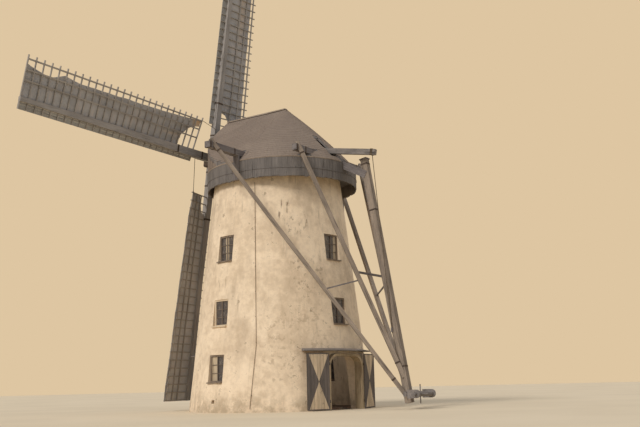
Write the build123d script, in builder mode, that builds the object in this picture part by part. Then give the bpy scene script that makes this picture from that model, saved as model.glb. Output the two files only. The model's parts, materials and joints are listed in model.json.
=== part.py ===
"""Round tower mill of whitewashed masonry: turning cap, four cloth sails, tail pole with its braces and winch.

Millimetres. The origin is on the tower's axis at the ground. The sails face -Y and the tail pole stands at +Y.
"""
import os
from math import cos, radians, sin, sqrt

from build123d import *

os.makedirs("parts", exist_ok=True)

# Tower wall, a hollow cone whose four sides carry the windows; the doorway is in the second side
wall_height = 10850
wall_foot_radius = 4280
wall_top_radius = 3080
wall_foot_thick = 750
wall_top_thick = 500
lower_wall_height = 3300
first_side_angle = -8
side_split_angle = 32

# Floors
ground_floor_thick = 90
floor_thick = 160
first_floor_top = 3200
second_floor_top = 5900

# Windows
air_hole_wide = 180
air_hole_tall = 150
air_hole_height = 470
window_wide = 940
window_tall = 1240
lower_sill = 1260
middle_sill = 3730
upper_sill = 6680
window_setback = 110
window_frame_deep = 90
window_frame_wide = 75
sill_thick = 55
sill_overhang = 60
pane_thick = 8
pane_setback = 50

# Doorway, its frame and its pair of leaves
doorway_wide = 2340
doorway_tall = 2440
doorway_shoulder = 560
door_frame_wide = 110
door_frame_front = 4130
door_frame_deep = 420
leaf_thick = 50
leaf_tall = 2420
leaf_open_angle = 196
leaf_gap = 6
leaf_lift = 30
pintle_radius = 12
pintle_heights = (350, 1950)
knuckle_radius = 24
knuckle_tall = 90
knuckle_reach = 36
hinge_play = 0.3
hood_height = 2560
hood_thick = 60
hood_reach = 260
hood_angle = 64

# Ring on which the cap turns
curb_inner_radius = 2720
curb_outer_radius = 3000
curb_thick = 145
turning_gap = 0.3
cap_ring_thick = 175

# Cap: skirt, roof and front boards
cap_radius = 3420
cap_rear_shift = 520
skirt_thick = 45
skirt_bottom = 10430
skirt_top = 11350
skirt_ledge = 10800
skirt_ledge_out = 35
ridge_over_hub = 1927
roof_shoulder_part = 0.57
roof_shoulder_rise = 0.471
roof_thick = 110
eaves_lip = 2
roof_front = 3120
gable_front = 2850
gable_thick = 60
brake_slot_wide = 420
brake_slot_front = 2620
brake_slot_rear = 3680

# Cap timbers
sheer_spacing = 2300
sheer_wide = 300
sheer_tall = 400
sheer_front = 2780
sheer_rear = 3300
weather_beam_wide = 420
tail_bearing_y = 1700
tail_bearing_wide = 320

# Beams that stick out of the cap and carry the braces
long_beam_y = 200
long_beam_half = 5500
long_beam_deep = 300
beam_tall = 280
short_beam_y = 3120
short_beam_half = 2950
short_beam_deep = 240
short_beam_notch = 70

beam_post_wide = 300
beam_post_out = 90

# Tail pole, tail beam and braces
pole_head_y = 5020
pole_head_z = 11300
pole_foot_y = 6880
pole_foot_z = 260
pole_wide = 300
tail_beam_wide = 340
tail_beam_root_y = 3240
tail_beam_root_z = 11560
tail_beam_tip_z = 10560
brace_wide = 170
short_brace_wide = 190
brace_inset = 220
long_brace_foot_z = 470
short_brace_foot_z = 1350
brace_foot_x = 90
tie_thick = 90
tie_height = 5950
side_tie_thick = 60
side_tie_height = 5200

# Winch at the foot of the tail pole
winch_reach = 420
winch_height = 640
winch_half_length = 800
winch_drum_radius = 115
winch_journal_radius = 60
winch_cheek_thick = 90
winch_cheek_tall = 360
winch_beam_tall = 200
winch_beam_deep = 150
winch_spoke_radius = 26
winch_spoke_length = 800
winch_spoke_place = 330
journal_gap = 1

# Brake lever and its rope
lever_x = 450
lever_over_shaft = 248
lever_end_y = 5880
lever_drop = 780
lever_wide = 200
lever_tall = 260
lever_pin_radius = 30
lever_cheek_thick = 80
lever_cheek_gap = 8
rope_radius = 16
rope_inset = 180
rope_foot_z = 3500
cleat_thick = 80
cleat_tall = 200
cleat_from_pole_front = 20

# Windshaft, poll end and stocks
hub_front = 4080
hub_height = 12713
shaft_tilt = 7.3
rest_turn = 0.7
neck_radius = 300
shaft_radius = 210
neck_length = 1350
neck_clearance = 20
shaft_length = 5950
bearing_gap = 1
poll_half = 360
stock_spacing = 350
stock_root_wide = 400
stock_root_deep = 310
stock_tip_wide = 190
stock_tip_deep = 140
poll_wall = 130

# Sails: bars through the stock, laths along them, boards on the leading side, cloth on the trailing side
sail_length = 12370
sail_start = 1950
bar_count = 27
bar_wide = 46
bar_deep = 60
root_twist = 15.5
tip_twist = 6.2
lead_width = 425
trail_width = 1720
bar_overhang = 140
lath_wide = 70
lath_deep = 40
lath_count = 3
sheet_stations = 8
board_thick = 22
cloth_thick = 14
cloth_gap_at_ends = 120
cloth_gap_in_middle = 330
cloth_bite_tall = 1100
cloth_tip = 330
lay_gap = 0.8
stay_radius = 14

# Wire down the wall, held off it by clips
wire_radius = 10
wire_standoff = 30
wire_top = 10300
wire_foot = 150
wire_bend = 2860
wire_top_angle = 17
wire_bend_angle = 21.5
wire_foot_angle = 18.5
clip_wide = 28
clip_count = 9


def wall_outer(z):
    return wall_foot_radius + (wall_top_radius - wall_foot_radius) * z / wall_height


def wall_inner(z):
    return wall_outer(z) - wall_foot_thick - (wall_top_thick - wall_foot_thick) * z / wall_height


left_side = first_side_angle
door_side = first_side_angle + 90
right_side = first_side_angle + 180
back_side = first_side_angle + 270


def radial_plane(angle):
    """Upright plane through the tower's axis: x outward, y up."""
    a = radians(angle)
    return Plane(origin=(0, 0, 0), x_dir=(cos(a), sin(a), 0), z_dir=(sin(a), -cos(a), 0))


def face_plane(angle, distance=0, z=0):
    """Upright plane square to a direction from the axis: x to the right as seen from outside, y up."""
    a = radians(angle)
    return Plane(
        origin=(distance * cos(a), distance * sin(a), z), x_dir=(-sin(a), cos(a), 0), z_dir=(cos(a), sin(a), 0)
    )


def beam_plane(start, end, side=(0, 0, 1)):
    """Plane at the start of a beam, square to it, with x across the beam and y towards side."""
    along = Vector(*end) - Vector(*start)
    across = Vector(*side).cross(along)
    return Plane(origin=start, x_dir=across, z_dir=along)


def beam_length(start, end):
    return (Vector(*end) - Vector(*start)).length


def add_beam(start, end, wide, deep, end_wide=None, end_deep=None, side=(0, 0, 1)):
    """Square timber from start to end, straight or tapered, in the part that is being built."""
    plane = beam_plane(start, end, side)
    length = beam_length(start, end)
    with BuildSketch(plane) as root:
        Rectangle(wide, deep)
    if end_wide is None:
        extrude(root.sketch, amount=length)
    else:
        with BuildSketch(plane.offset(length)) as tip:
            Rectangle(end_wide, end_deep)
        loft([root.sketch, tip.sketch])


def add_ring_arc(start_angle, end_angle, bottom, top):
    """Stretch of the tower wall between two angles and two heights."""
    with BuildSketch(radial_plane(start_angle)) as section:
        with BuildLine():
            Polyline(
                (wall_inner(bottom), bottom),
                (wall_outer(bottom), bottom),
                (wall_outer(top), top),
                (wall_inner(top), top),
                close=True,
            )
        make_face()
    revolve(section.sketch, axis=Axis.Z, revolution_arc=end_angle - start_angle)


def cut_window(side, sill):
    with BuildSketch(face_plane(side, 0, sill + window_tall / 2)) as opening:
        Rectangle(window_wide, window_tall)
    extrude(opening.sketch, amount=wall_foot_radius * 1.2, mode=Mode.SUBTRACT)


def doorway_outline(inset=0):
    """Doorway with rounded shoulders, its foot on the ground, drawn in a face plane at height 0."""
    half = doorway_wide / 2 - inset
    top = doorway_tall - inset
    shoulder = doorway_shoulder - inset
    with BuildLine() as outline:
        Line((-half, 0), (half, 0))
        Line((half, 0), (half, top - shoulder))
        RadiusArc((half, top - shoulder), (half - shoulder, top), -shoulder)
        Line((half - shoulder, top), (-half + shoulder, top))
        RadiusArc((-half + shoulder, top), (-half, top - shoulder), -shoulder)
        Line((-half, top - shoulder), (-half, 0))
    make_face(outline.edges())


def cut_doorway(side):
    with BuildSketch(face_plane(side)) as opening:
        doorway_outline()
    extrude(opening.sketch, amount=wall_foot_radius * 1.2, mode=Mode.SUBTRACT)


# Lower wall: three stretches on each side of the tower between the doorways, and a block over each doorway
def lower_wall(side, start_angle, end_angle, doorway=None, window=False):
    with BuildPart() as wall:
        add_ring_arc(start_angle, end_angle, 0, lower_wall_height)
        if doorway is not None:
            with BuildSketch(face_plane(doorway, 0, lower_wall_height / 2)):
                Rectangle(doorway_wide, lower_wall_height)
            extrude(amount=wall_foot_radius * 1.2, mode=Mode.SUBTRACT)
        if window:
            cut_window(side, lower_sill)
            with BuildSketch(face_plane(side, 0, air_hole_height)) as air_hole:
                Rectangle(air_hole_wide, air_hole_tall)
            extrude(air_hole.sketch, amount=wall_foot_radius * 1.2, mode=Mode.SUBTRACT)
    return wall


def wall_over_doorway(side):
    with BuildPart() as wall:
        add_ring_arc(side - 40, side + 40, 0, lower_wall_height)
        with BuildSketch(face_plane(side, 0, lower_wall_height / 2)):
            Rectangle(doorway_wide, lower_wall_height)
        extrude(amount=wall_foot_radius * 1.2, mode=Mode.INTERSECT)
        cut_doorway(side)
    return wall


def upper_wall(side, sills):
    with BuildPart() as wall:
        add_ring_arc(side - 45, side + 45, lower_wall_height, wall_height)
        for sill in sills:
            cut_window(side, sill)
    return wall


lower_wall_left_rear = lower_wall(left_side, left_side - 90, left_side - side_split_angle, doorway=back_side)
lower_wall_left = lower_wall(left_side, left_side - side_split_angle, left_side + side_split_angle, window=True)
lower_wall_left_front = lower_wall(left_side, left_side + side_split_angle, door_side, doorway=door_side)
lower_wall_right_front = lower_wall(right_side, door_side, right_side - side_split_angle, doorway=door_side)
lower_wall_right = lower_wall(right_side, right_side - side_split_angle, right_side + side_split_angle, window=True)
lower_wall_right_rear = lower_wall(right_side, right_side + side_split_angle, back_side, doorway=back_side)
wall_over_door = wall_over_doorway(door_side)
wall_over_back_door = wall_over_doorway(back_side)
upper_wall_left = upper_wall(left_side, (middle_sill, upper_sill))
upper_wall_door_side = upper_wall(door_side, (middle_sill, upper_sill))
upper_wall_right = upper_wall(right_side, (middle_sill, upper_sill))
upper_wall_back = upper_wall(back_side, (middle_sill, upper_sill))


# Floors, each bearing on the inner face of the wall all round
def floor_disc(bottom, top):
    with BuildPart() as disc:
        with BuildSketch(radial_plane(0)):
            with BuildLine():
                Polyline((0, bottom), (wall_inner(bottom), bottom), (wall_inner(top), top), (0, top), close=True)
            make_face()
        revolve(axis=Axis.Z)
    return disc


ground_floor = floor_disc(0, ground_floor_thick)
with BuildPart() as upper_floors:
    add(floor_disc(first_floor_top - floor_thick, first_floor_top).part)
    add(floor_disc(second_floor_top - floor_thick, second_floor_top).part)


# Windows
def window_face(sill):
    return wall_outer(sill + window_tall / 2) - window_setback


def window_frames_of(side, sills):
    with BuildPart() as frames:
        for sill in sills:
            front = window_face(sill)
            with BuildSketch(face_plane(side, front, sill + window_tall / 2)):
                Rectangle(window_wide, window_tall)
                with Locations((0, (sill_thick - window_frame_wide) / 2 + sill_thick / 2)):
                    Rectangle(
                        window_wide - 2 * window_frame_wide,
                        window_tall - window_frame_wide - 2 * sill_thick,
                        mode=Mode.SUBTRACT,
                    )
            extrude(amount=-window_frame_deep)
            with BuildSketch(face_plane(side, front, sill + sill_thick / 2)):
                Rectangle(window_wide, sill_thick)
            extrude(amount=wall_outer(sill) - front + sill_overhang)
    return frames


def add_panes(side, sills):
    for sill in sills:
        with BuildSketch(face_plane(side, window_face(sill) - pane_setback, sill + window_tall / 2)) as pane:
            with Locations((0, (sill_thick - window_frame_wide) / 2 + sill_thick / 2)):
                Rectangle(window_wide - 2 * window_frame_wide, window_tall - window_frame_wide - 2 * sill_thick)
        extrude(pane.sketch, amount=-pane_thick)


three_sills = (lower_sill, middle_sill, upper_sill)
two_sills = (middle_sill, upper_sill)
with BuildPart() as window_frames:
    add(window_frames_of(left_side, three_sills).part)
    add(window_frames_of(door_side, two_sills).part)
    add(window_frames_of(right_side, three_sills).part)
    add(window_frames_of(back_side, two_sills).part)
with BuildPart() as window_panes:
    add_panes(left_side, three_sills)
    add_panes(door_side, two_sills)
    add_panes(right_side, three_sills)
    add_panes(back_side, two_sills)


# Doorways
def door_frame_of(side):
    with BuildPart() as frame:
        with BuildSketch(face_plane(side, door_frame_front)):
            doorway_outline()
        extrude(amount=-door_frame_deep)
        with BuildSketch(face_plane(side, door_frame_front)):
            doorway_outline(door_frame_wide)
        extrude(amount=-door_frame_deep, mode=Mode.SUBTRACT)
    return frame


hinge_out = door_frame_front + leaf_gap + leaf_thick / 2
hinge_across = doorway_wide / 2
leaf_wide = hinge_across - leaf_gap


def hinge_point(side, hand):
    return face_plane(side, hinge_out).from_local_coords((hand * hinge_across, 0, 0))


def door_leaf(side, hand, open_angle):
    """Leaf hung at its outer edge on two pintles; hand is +1 for the leaf on the right, seen from outside."""
    hinge = hinge_point(side, hand)
    a = radians(side + hand * open_angle)
    along = (-sin(a), cos(a), 0)
    with BuildPart() as leaf:
        plane = Plane(origin=hinge, x_dir=along, z_dir=(cos(a), sin(a), 0))
        with BuildSketch(plane.offset(-leaf_thick / 2)):
            with Locations((-hand * (leaf_wide + knuckle_reach) / 2, leaf_lift + leaf_tall / 2)):
                Rectangle(leaf_wide - knuckle_reach, leaf_tall)
        extrude(amount=leaf_thick)
        for height in pintle_heights:
            with BuildSketch(Plane(origin=hinge + Vector(0, 0, height), x_dir=along)):
                Circle(knuckle_radius)
                with Locations((-hand * knuckle_reach / 2, 0)):
                    Rectangle(knuckle_reach, knuckle_radius)
                Circle(pintle_radius + hinge_play, mode=Mode.SUBTRACT)
            extrude(amount=knuckle_tall)
    return leaf


def pintles_of(side):
    """Upright pins on brackets that stand on the front of the door frame."""
    with BuildPart() as pintles:
        for hand in (1, -1):
            for height in pintle_heights:
                foot = hinge_point(side, hand) + Vector(0, 0, height - knuckle_radius - hinge_play)
                with BuildSketch(Plane(origin=foot, x_dir=face_plane(side).x_dir)):
                    Circle(knuckle_radius - 2 * hinge_play)
                    with Locations((-hand * knuckle_radius / 2, (hinge_out - door_frame_front) / 2)):
                        Rectangle(knuckle_radius, hinge_out - door_frame_front)
                extrude(amount=knuckle_radius)
                with BuildSketch(Plane(origin=foot)):
                    Circle(pintle_radius)
                extrude(amount=knuckle_radius + knuckle_tall + pintle_radius)
    return pintles


def hood_of(side):
    with BuildPart() as hood:
        outer = hinge_out + hood_reach
        with BuildSketch(radial_plane(side - hood_angle / 2)):
            with BuildLine():
                Polyline(
                    (wall_outer(hood_height), hood_height),
                    (outer, hood_height),
                    (outer, hood_height + hood_thick / 2),
                    (wall_outer(hood_height + 2 * hood_thick), hood_height + 2 * hood_thick),
                    close=True,
                )
            make_face()
        revolve(axis=Axis.Z, revolution_arc=hood_angle)
    return hood


with BuildPart() as door_frames:
    add(door_frame_of(door_side).part)
    add(door_frame_of(back_side).part)
with BuildPart() as door_hoods:
    add(hood_of(door_side).part)
    add(hood_of(back_side).part)
door_pintles = pintles_of(door_side)
door_leaf_left = door_leaf(door_side, -1, leaf_open_angle)
door_leaf_right = door_leaf(door_side, 1, leaf_open_angle)
with BuildPart() as back_door_leaves:
    with BuildSketch(face_plane(back_side, door_frame_front)):
        with Locations((0, leaf_lift + leaf_tall / 2)):
            with GridLocations(leaf_wide + leaf_gap, 0, 2, 1):
                Rectangle(leaf_wide, leaf_tall)
    extrude(amount=leaf_thick)

# Wire down the wall
def wire_point(angle, z):
    r = wall_outer(z) + wire_standoff
    return (r * cos(radians(angle)), r * sin(radians(angle)), z)


with BuildPart() as wall_wire:
    with BuildLine() as wire_path:
        Polyline(
            wire_point(wire_foot_angle, wire_foot),
            wire_point(wire_bend_angle, wire_bend),
            wire_point(wire_top_angle, wire_top),
        )
    with BuildSketch(Plane(origin=wire_path.line @ 0, z_dir=wire_path.line % 0)):
        RegularPolygon(wire_radius, 6)
    sweep(transition=Transition.RIGHT)


def wire_angle(z):
    """Where round the wall the wire is at a height."""
    if z < wire_bend:
        return wire_foot_angle + (wire_bend_angle - wire_foot_angle) * (z - wire_foot) / (wire_bend - wire_foot)
    return wire_bend_angle + (wire_top_angle - wire_bend_angle) * (z - wire_bend) / (wire_top - wire_bend)


with BuildPart() as wire_clips:
    for k in range(clip_count):
        z = wire_foot + (wire_top - wire_foot) * (k + 0.5) / clip_count
        with BuildSketch(face_plane(wire_angle(z), wall_outer(z) + wire_standoff, z)) as clip:
            Rectangle(clip_wide, clip_wide)
        extrude(clip.sketch, amount=-wire_standoff - clip_wide)
    add(wall_wire.part, mode=Mode.SUBTRACT)
    add(lower_wall_left.part, mode=Mode.SUBTRACT)
    add(upper_wall_left.part, mode=Mode.SUBTRACT)

# Curb on the wall head
with BuildPart() as curb_ring:
    with BuildSketch(Plane.XY.offset(wall_height)):
        Circle(curb_outer_radius)
        Circle(curb_inner_radius, mode=Mode.SUBTRACT)
    extrude(amount=curb_thick)

cap_ring_bottom = wall_height + curb_thick + turning_gap
sheer_bottom = cap_ring_bottom + cap_ring_thick
sheer_top = sheer_bottom + sheer_tall
long_beam_z = sheer_top + beam_tall / 2
short_beam_z = long_beam_z - short_beam_notch


def cap_plan(inset=0):
    """Plan of the cap: a circle about the axis, drawn out towards the tail."""
    r = cap_radius - inset
    with BuildLine() as plan:
        CenterArc((0, 0), r, 180, 180)
        Line((r, 0), (r, cap_rear_shift))
        CenterArc((0, cap_rear_shift), r, 0, 180)
        Line((-r, cap_rear_shift), (-r, 0))
    make_face(plan.edges())


# Turning ring under the cap
with BuildPart() as cap_ring:
    with BuildSketch(Plane.XY.offset(cap_ring_bottom)):
        cap_plan(skirt_thick)
        Circle(curb_inner_radius, mode=Mode.SUBTRACT)
    extrude(amount=cap_ring_thick)

# Beams across the cap
with BuildPart() as long_beam:
    with BuildSketch(Plane.YZ):
        with Locations((long_beam_y, long_beam_z)):
            Rectangle(long_beam_deep, beam_tall)
    extrude(amount=long_beam_half, both=True)

with BuildPart() as short_beam:
    with BuildSketch(Plane.YZ):
        with Locations((short_beam_y, short_beam_z)):
            Rectangle(short_beam_deep, beam_tall)
    extrude(amount=short_beam_half, both=True)

# Windshaft: its own plane has x across the mill, y up the sails and z towards the wind
tilt = radians(shaft_tilt)
shaft_dir = (0, -cos(tilt), sin(tilt))


def rotor_plane(along=0, turn=rest_turn):
    """Plane square to the windshaft, along in front of the hub's middle, turned about the shaft."""
    a = radians(turn)
    return Plane(
        origin=(0, -hub_front - along * cos(tilt), hub_height + along * sin(tilt)),
        x_dir=(cos(a), sin(a) * sin(tilt), sin(a) * cos(tilt)),
        z_dir=shaft_dir,
    )


rotor = rotor_plane()


def shaft_z(y):
    """Height of the windshaft's axis at a place along the mill."""
    return hub_height - (y + hub_front) * sin(tilt) / cos(tilt)


poll_back = stock_spacing / 2 + stock_root_deep / 2 + poll_wall

with BuildPart() as windshaft:
    with BuildSketch(rotor.offset(-poll_back)):
        Circle(neck_radius)
    extrude(amount=-neck_length)
    with BuildSketch(rotor.offset(-poll_back - neck_length)):
        RegularPolygon(shaft_radius, 16)
    extrude(amount=-(shaft_length - neck_length))

neck_y = weather_beam_wide / 2 + gable_thick - gable_front
lever_pivot_z = shaft_z(tail_bearing_y) + lever_over_shaft
ridge_height = hub_height + ridge_over_hub
roof_shoulder_height = skirt_top + roof_shoulder_rise * (ridge_height - skirt_top)

# Timbers inside the cap: two sheers, the weather beam under the shaft's neck and the beam under its tail
with BuildPart() as cap_timbers:
    with BuildSketch(Plane.XY.offset(sheer_bottom)):
        with Locations((0, (sheer_rear - sheer_front) / 2)):
            with GridLocations(sheer_spacing, 0, 2, 1):
                Rectangle(sheer_wide, sheer_rear + sheer_front)
    extrude(amount=sheer_tall)
    with BuildSketch(Plane.XY.offset(sheer_top)):
        with Locations((0, neck_y)):
            Rectangle(sheer_spacing + sheer_wide, weather_beam_wide)
    extrude(amount=shaft_z(neck_y) - sheer_top)
    with BuildSketch(Plane.XY.offset(sheer_top)):
        with Locations((0, tail_bearing_y)):
            Rectangle(sheer_spacing + sheer_wide, tail_bearing_wide)
    extrude(amount=shaft_z(tail_bearing_y) - sheer_top)
    with BuildSketch(rotor.offset(-poll_back)):
        Circle(neck_radius + bearing_gap)
    extrude(amount=-neck_length, mode=Mode.SUBTRACT)
    with BuildSketch(rotor.offset(-poll_back - neck_length + bearing_gap)):
        Circle(shaft_radius + bearing_gap)
    extrude(amount=-(shaft_length - neck_length) - 3 * bearing_gap, mode=Mode.SUBTRACT)
    add(short_beam.part, mode=Mode.SUBTRACT)
    with BuildSketch(Plane(origin=(lever_x, tail_bearing_y, sheer_top))):
        with GridLocations(lever_wide + 2 * lever_cheek_gap + lever_cheek_thick, 0, 2, 1):
            Rectangle(lever_cheek_thick, tail_bearing_wide)
    extrude(amount=lever_pivot_z + 3 * lever_pin_radius - sheer_top)
    with BuildSketch(Plane.YZ.offset(lever_x)):
        with Locations((tail_bearing_y, lever_pivot_z)):
            Circle(lever_pin_radius + bearing_gap)
    extrude(amount=lever_wide + lever_cheek_thick + lever_cheek_gap, both=True, mode=Mode.SUBTRACT)
    with BuildSketch(Plane.YZ.offset(lever_x)):
        with Locations((tail_bearing_y, lever_pivot_z)):
            Circle(lever_tall / 2 + lever_cheek_gap)
    extrude(amount=lever_wide / 2 + lever_cheek_gap, both=True, mode=Mode.SUBTRACT)

# Poll end: an iron box round the crossing of the two stocks
with BuildPart() as poll_end:
    with BuildSketch(rotor.offset(-poll_back)):
        RectangleRounded(2 * poll_half, 2 * poll_half, poll_half / 4)
    extrude(amount=2 * poll_back)
    chamfer(faces().filter_by(Plane(origin=rotor.origin, z_dir=rotor.z_dir)).edges(), length=poll_half / 10)
    with BuildSketch(rotor.offset(stock_spacing / 2)):
        Rectangle(stock_root_wide, 4 * poll_half)
    extrude(amount=stock_root_deep / 2, both=True, mode=Mode.SUBTRACT)
    with BuildSketch(rotor.offset(-stock_spacing / 2)):
        Rectangle(4 * poll_half, stock_root_wide)
    extrude(amount=stock_root_deep / 2, both=True, mode=Mode.SUBTRACT)


# One sail, drawn pointing along +Y with the wind side towards +Z and its trailing side towards -X
def twist(r):
    return root_twist + (tip_twist - root_twist) * (r - sail_start) / (sail_length - sail_start)


def blade_plane(r):
    """Plane square to the stock at a distance from the hub: x to the trailing edge, y to the wind."""
    g = radians(twist(r))
    return Plane(origin=(0, r, 0), x_dir=(-cos(g), 0, -sin(g)), z_dir=(0, 1, 0))


def stock_half(r):
    """Half the stock's width at a distance from the hub."""
    return (stock_root_wide + (stock_tip_wide - stock_root_wide) * (r - poll_half) / (sail_length - poll_half)) / 2


bar_pitch = (sail_length - sail_start - bar_wide) / (bar_count - 1)
bar_places = [sail_start + bar_wide / 2 + bar_pitch * k for k in range(bar_count)]
stations = [sail_start + (sail_length - sail_start) * k / 5 for k in range(6)]

with BuildPart() as sail_bars:
    for r in bar_places:
        with BuildSketch(blade_plane(r - bar_wide / 2)):
            with Locations(((trail_width + bar_overhang - lead_width) / 2, 0)):
                Rectangle(trail_width + bar_overhang + lead_width, bar_deep)
        extrude(amount=bar_wide)


def add_lath(across):
    sections = []
    for r in stations:
        with BuildSketch(blade_plane(r)) as section:
            with Locations((across, 0)):
                Rectangle(lath_wide, lath_deep)
        sections.append(section.sketch)
    loft(sections, ruled=True)


with BuildPart() as sail_frame:
    add(sail_bars.part)
    for k in range(lath_count):
        add_lath(trail_width - lath_wide / 2 - (trail_width - stock_root_wide) * k / lath_count)


def lay_sheet(inner, outer, end, thick):
    """Thin twisted sheet on the wind side of the bars, from the sail's heel to a distance from the hub."""
    sections = []
    for k in range(sheet_stations):
        r = sail_start + (end - sail_start) * k / (sheet_stations - 1)
        with BuildSketch(blade_plane(r)) as section:
            with Locations(((inner(r) + outer(r)) / 2, bar_deep / 2 + lay_gap + thick / 2)):
                Rectangle(abs(outer(r) - inner(r)), thick)
        sections.append(section.sketch)
    loft(sections, ruled=True)


def cloth_inner(r):
    return stock_half(r) + bar_deep


def cloth_outer(r):
    """The cloth's free edge hangs in a shallow curve between the two ends of the hem."""
    t = (r - sail_start) / (sail_length - sail_start)
    return trail_width - cloth_gap_at_ends - (cloth_gap_in_middle - cloth_gap_at_ends) * 4 * t * (1 - t)


with BuildPart() as sail_board:
    lay_sheet(lambda r: -lead_width, lambda r: -stock_half(r) - bar_deep, sail_length, board_thick)

with BuildPart() as sail_cloth:
    lay_sheet(cloth_inner, cloth_outer, sail_length - cloth_tip, cloth_thick)
    with BuildSketch(Plane.XY.offset(-trail_width)):
        with Locations((-cloth_inner(sail_start), sail_start)):
            Ellipse(cloth_outer(sail_start) - cloth_inner(sail_start), cloth_bite_tall)
    extrude(amount=2 * trail_width, mode=Mode.SUBTRACT)

# Each sail points up the y of its own plane; two opposite ones share a stock
top_plane = rotor_plane(stock_spacing / 2, rest_turn)
bottom_plane = rotor_plane(stock_spacing / 2, rest_turn + 180)
right_plane = rotor_plane(-stock_spacing / 2, rest_turn - 90)
left_plane = rotor_plane(-stock_spacing / 2, rest_turn + 90)


def stock_of(one, other):
    with BuildPart() as stock:
        for plane in (one, other):
            base = Plane(origin=plane.origin, x_dir=plane.x_dir, z_dir=plane.y_dir)
            with BuildSketch(base):
                Rectangle(stock_root_wide, stock_root_deep)
            extrude(amount=poll_half)
            with BuildSketch(base.offset(poll_half)):
                Rectangle(stock_root_wide, stock_root_deep)
            with BuildSketch(base.offset(sail_length)):
                Rectangle(stock_tip_wide, stock_tip_deep)
            loft()
        with Locations(one.location, other.location):
            add(sail_bars.part, mode=Mode.SUBTRACT)
    return stock


def on_each_stock(piece):
    with BuildPart() as copies:
        for plane in (top_plane, bottom_plane, right_plane, left_plane):
            with Locations(plane.location):
                add(piece.part)
    return copies


outer_stock = stock_of(top_plane, bottom_plane)
inner_stock = stock_of(right_plane, left_plane)
sail_frames = on_each_stock(sail_frame)
sail_cloths = on_each_stock(sail_cloth)
lead_boards = on_each_stock(sail_board)


def stay_ends(plane, other_along):
    """From the inner corner of a sail's hem to the stock that it trails towards, in the plane of the sail."""
    g = radians(root_twist)
    corner = (-trail_width * cos(g), sail_start, -trail_width * sin(g))
    return plane.from_local_coords(corner), plane.from_local_coords((-trail_width, 0, other_along))


with BuildPart() as sail_stays:
    for plane, step in ((top_plane, -1), (bottom_plane, -1), (right_plane, 1), (left_plane, 1)):
        corner, root = stay_ends(plane, step * stock_spacing)
        with BuildSketch(beam_plane(tuple(corner), tuple(root), side=shaft_dir)):
            RegularPolygon(stay_radius, 6)
        extrude(amount=(root - corner).length)
    add(outer_stock.part, mode=Mode.SUBTRACT)
    add(inner_stock.part, mode=Mode.SUBTRACT)
    add(sail_frames.part, mode=Mode.SUBTRACT)

# Brake lever: hung on a pin between two cheeks on the tail bearing beam, its free end out behind the cap
lever_pivot = Vector(lever_x, tail_bearing_y, lever_pivot_z)
lever_end = Vector(lever_x, lever_end_y, lever_pivot_z - lever_drop)
lever_along = (lever_end - lever_pivot).normalized()
lever_side = Plane(origin=lever_pivot, x_dir=lever_along, z_dir=(1, 0, 0))

with BuildPart() as brake_lever:
    with BuildSketch(lever_side):
        with Locations(((lever_end - lever_pivot).length / 2, 0)):
            Rectangle((lever_end - lever_pivot).length, lever_tall)
        Circle(lever_tall / 2)
    extrude(amount=lever_wide / 2, both=True)
    with BuildSketch(lever_side):
        Circle(lever_pin_radius)
    extrude(amount=lever_wide / 2 + lever_cheek_gap + lever_cheek_thick, both=True)


# Cap roof: straight rafters' profile along the ridge, turned round at the tail, cut to the plan
def roof_profile(inset, half=False):
    """Section of the roof: a slightly bowed slope from the ridge to the eaves."""
    width = cap_radius - inset
    peak = ridge_height - inset * 1.4
    bend = (width * roof_shoulder_part, roof_shoulder_height - inset * 0.7)
    with BuildLine() as profile:
        ThreePointArc((0, peak), bend, (width, skirt_top))
        if half:
            Line((width, skirt_top), (0, skirt_top))
            Line((0, skirt_top), (0, peak))
        else:
            Line((width, skirt_top), (-width, skirt_top))
            ThreePointArc((-width, skirt_top), (-bend[0], bend[1]), (0, peak))
    make_face(profile.edges())


def roof_body(inset, front):
    with BuildPart() as body:
        with BuildSketch(Plane(origin=(0, -front, 0), x_dir=(-1, 0, 0), z_dir=(0, 1, 0))):
            roof_profile(inset)
        extrude(amount=front + cap_rear_shift)
        with BuildSketch(Plane(origin=(0, cap_rear_shift, 0), x_dir=(1, 0, 0), z_dir=(0, -1, 0))):
            roof_profile(inset, half=True)
        revolve(axis=Axis((0, cap_rear_shift, 0), (0, 0, 1)), revolution_arc=180)
        with BuildSketch(Plane.XY.offset(skirt_top - eaves_lip)):
            cap_plan(inset - eaves_lip)
        extrude(amount=ridge_height - skirt_top + 2 * eaves_lip, mode=Mode.INTERSECT)
    return body


roof_outside = roof_body(0, roof_front)
roof_inside = roof_body(roof_thick, roof_front + roof_thick)

tail_beam_start = (0, tail_beam_root_y, tail_beam_root_z)
pole_head = (0, pole_head_y, pole_head_z)
pole_foot = (0, pole_foot_y, pole_foot_z)


def pole_y(z):
    """Where the tail pole's middle line is at a height."""
    return pole_head_y + (pole_foot_y - pole_head_y) * (pole_head_z - z) / (pole_head_z - pole_foot_z)


tail_beam_end = (0, pole_y(tail_beam_tip_z), tail_beam_tip_z)

with BuildPart() as tail_pole:
    add_beam(pole_foot, pole_head, pole_wide, pole_wide, side=(0, 1, 0))

with BuildPart() as tail_beam:
    add_beam(tail_beam_start, tail_beam_end, tail_beam_wide, tail_beam_wide)
    add(cap_ring.part, mode=Mode.SUBTRACT)
    add(tail_pole.part, mode=Mode.SUBTRACT)
    add(short_beam.part, mode=Mode.SUBTRACT)

cleat_y = pole_y(rope_foot_z) - pole_wide / 2 + cleat_from_pole_front + cleat_thick / 2
with BuildPart() as rope_cleat:
    with BuildSketch(Plane.YZ.offset(pole_wide / 2)):
        with Locations((cleat_y, rope_foot_z - cleat_tall / 2)):
            Rectangle(cleat_thick, cleat_tall)
    extrude(amount=cleat_thick)

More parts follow.
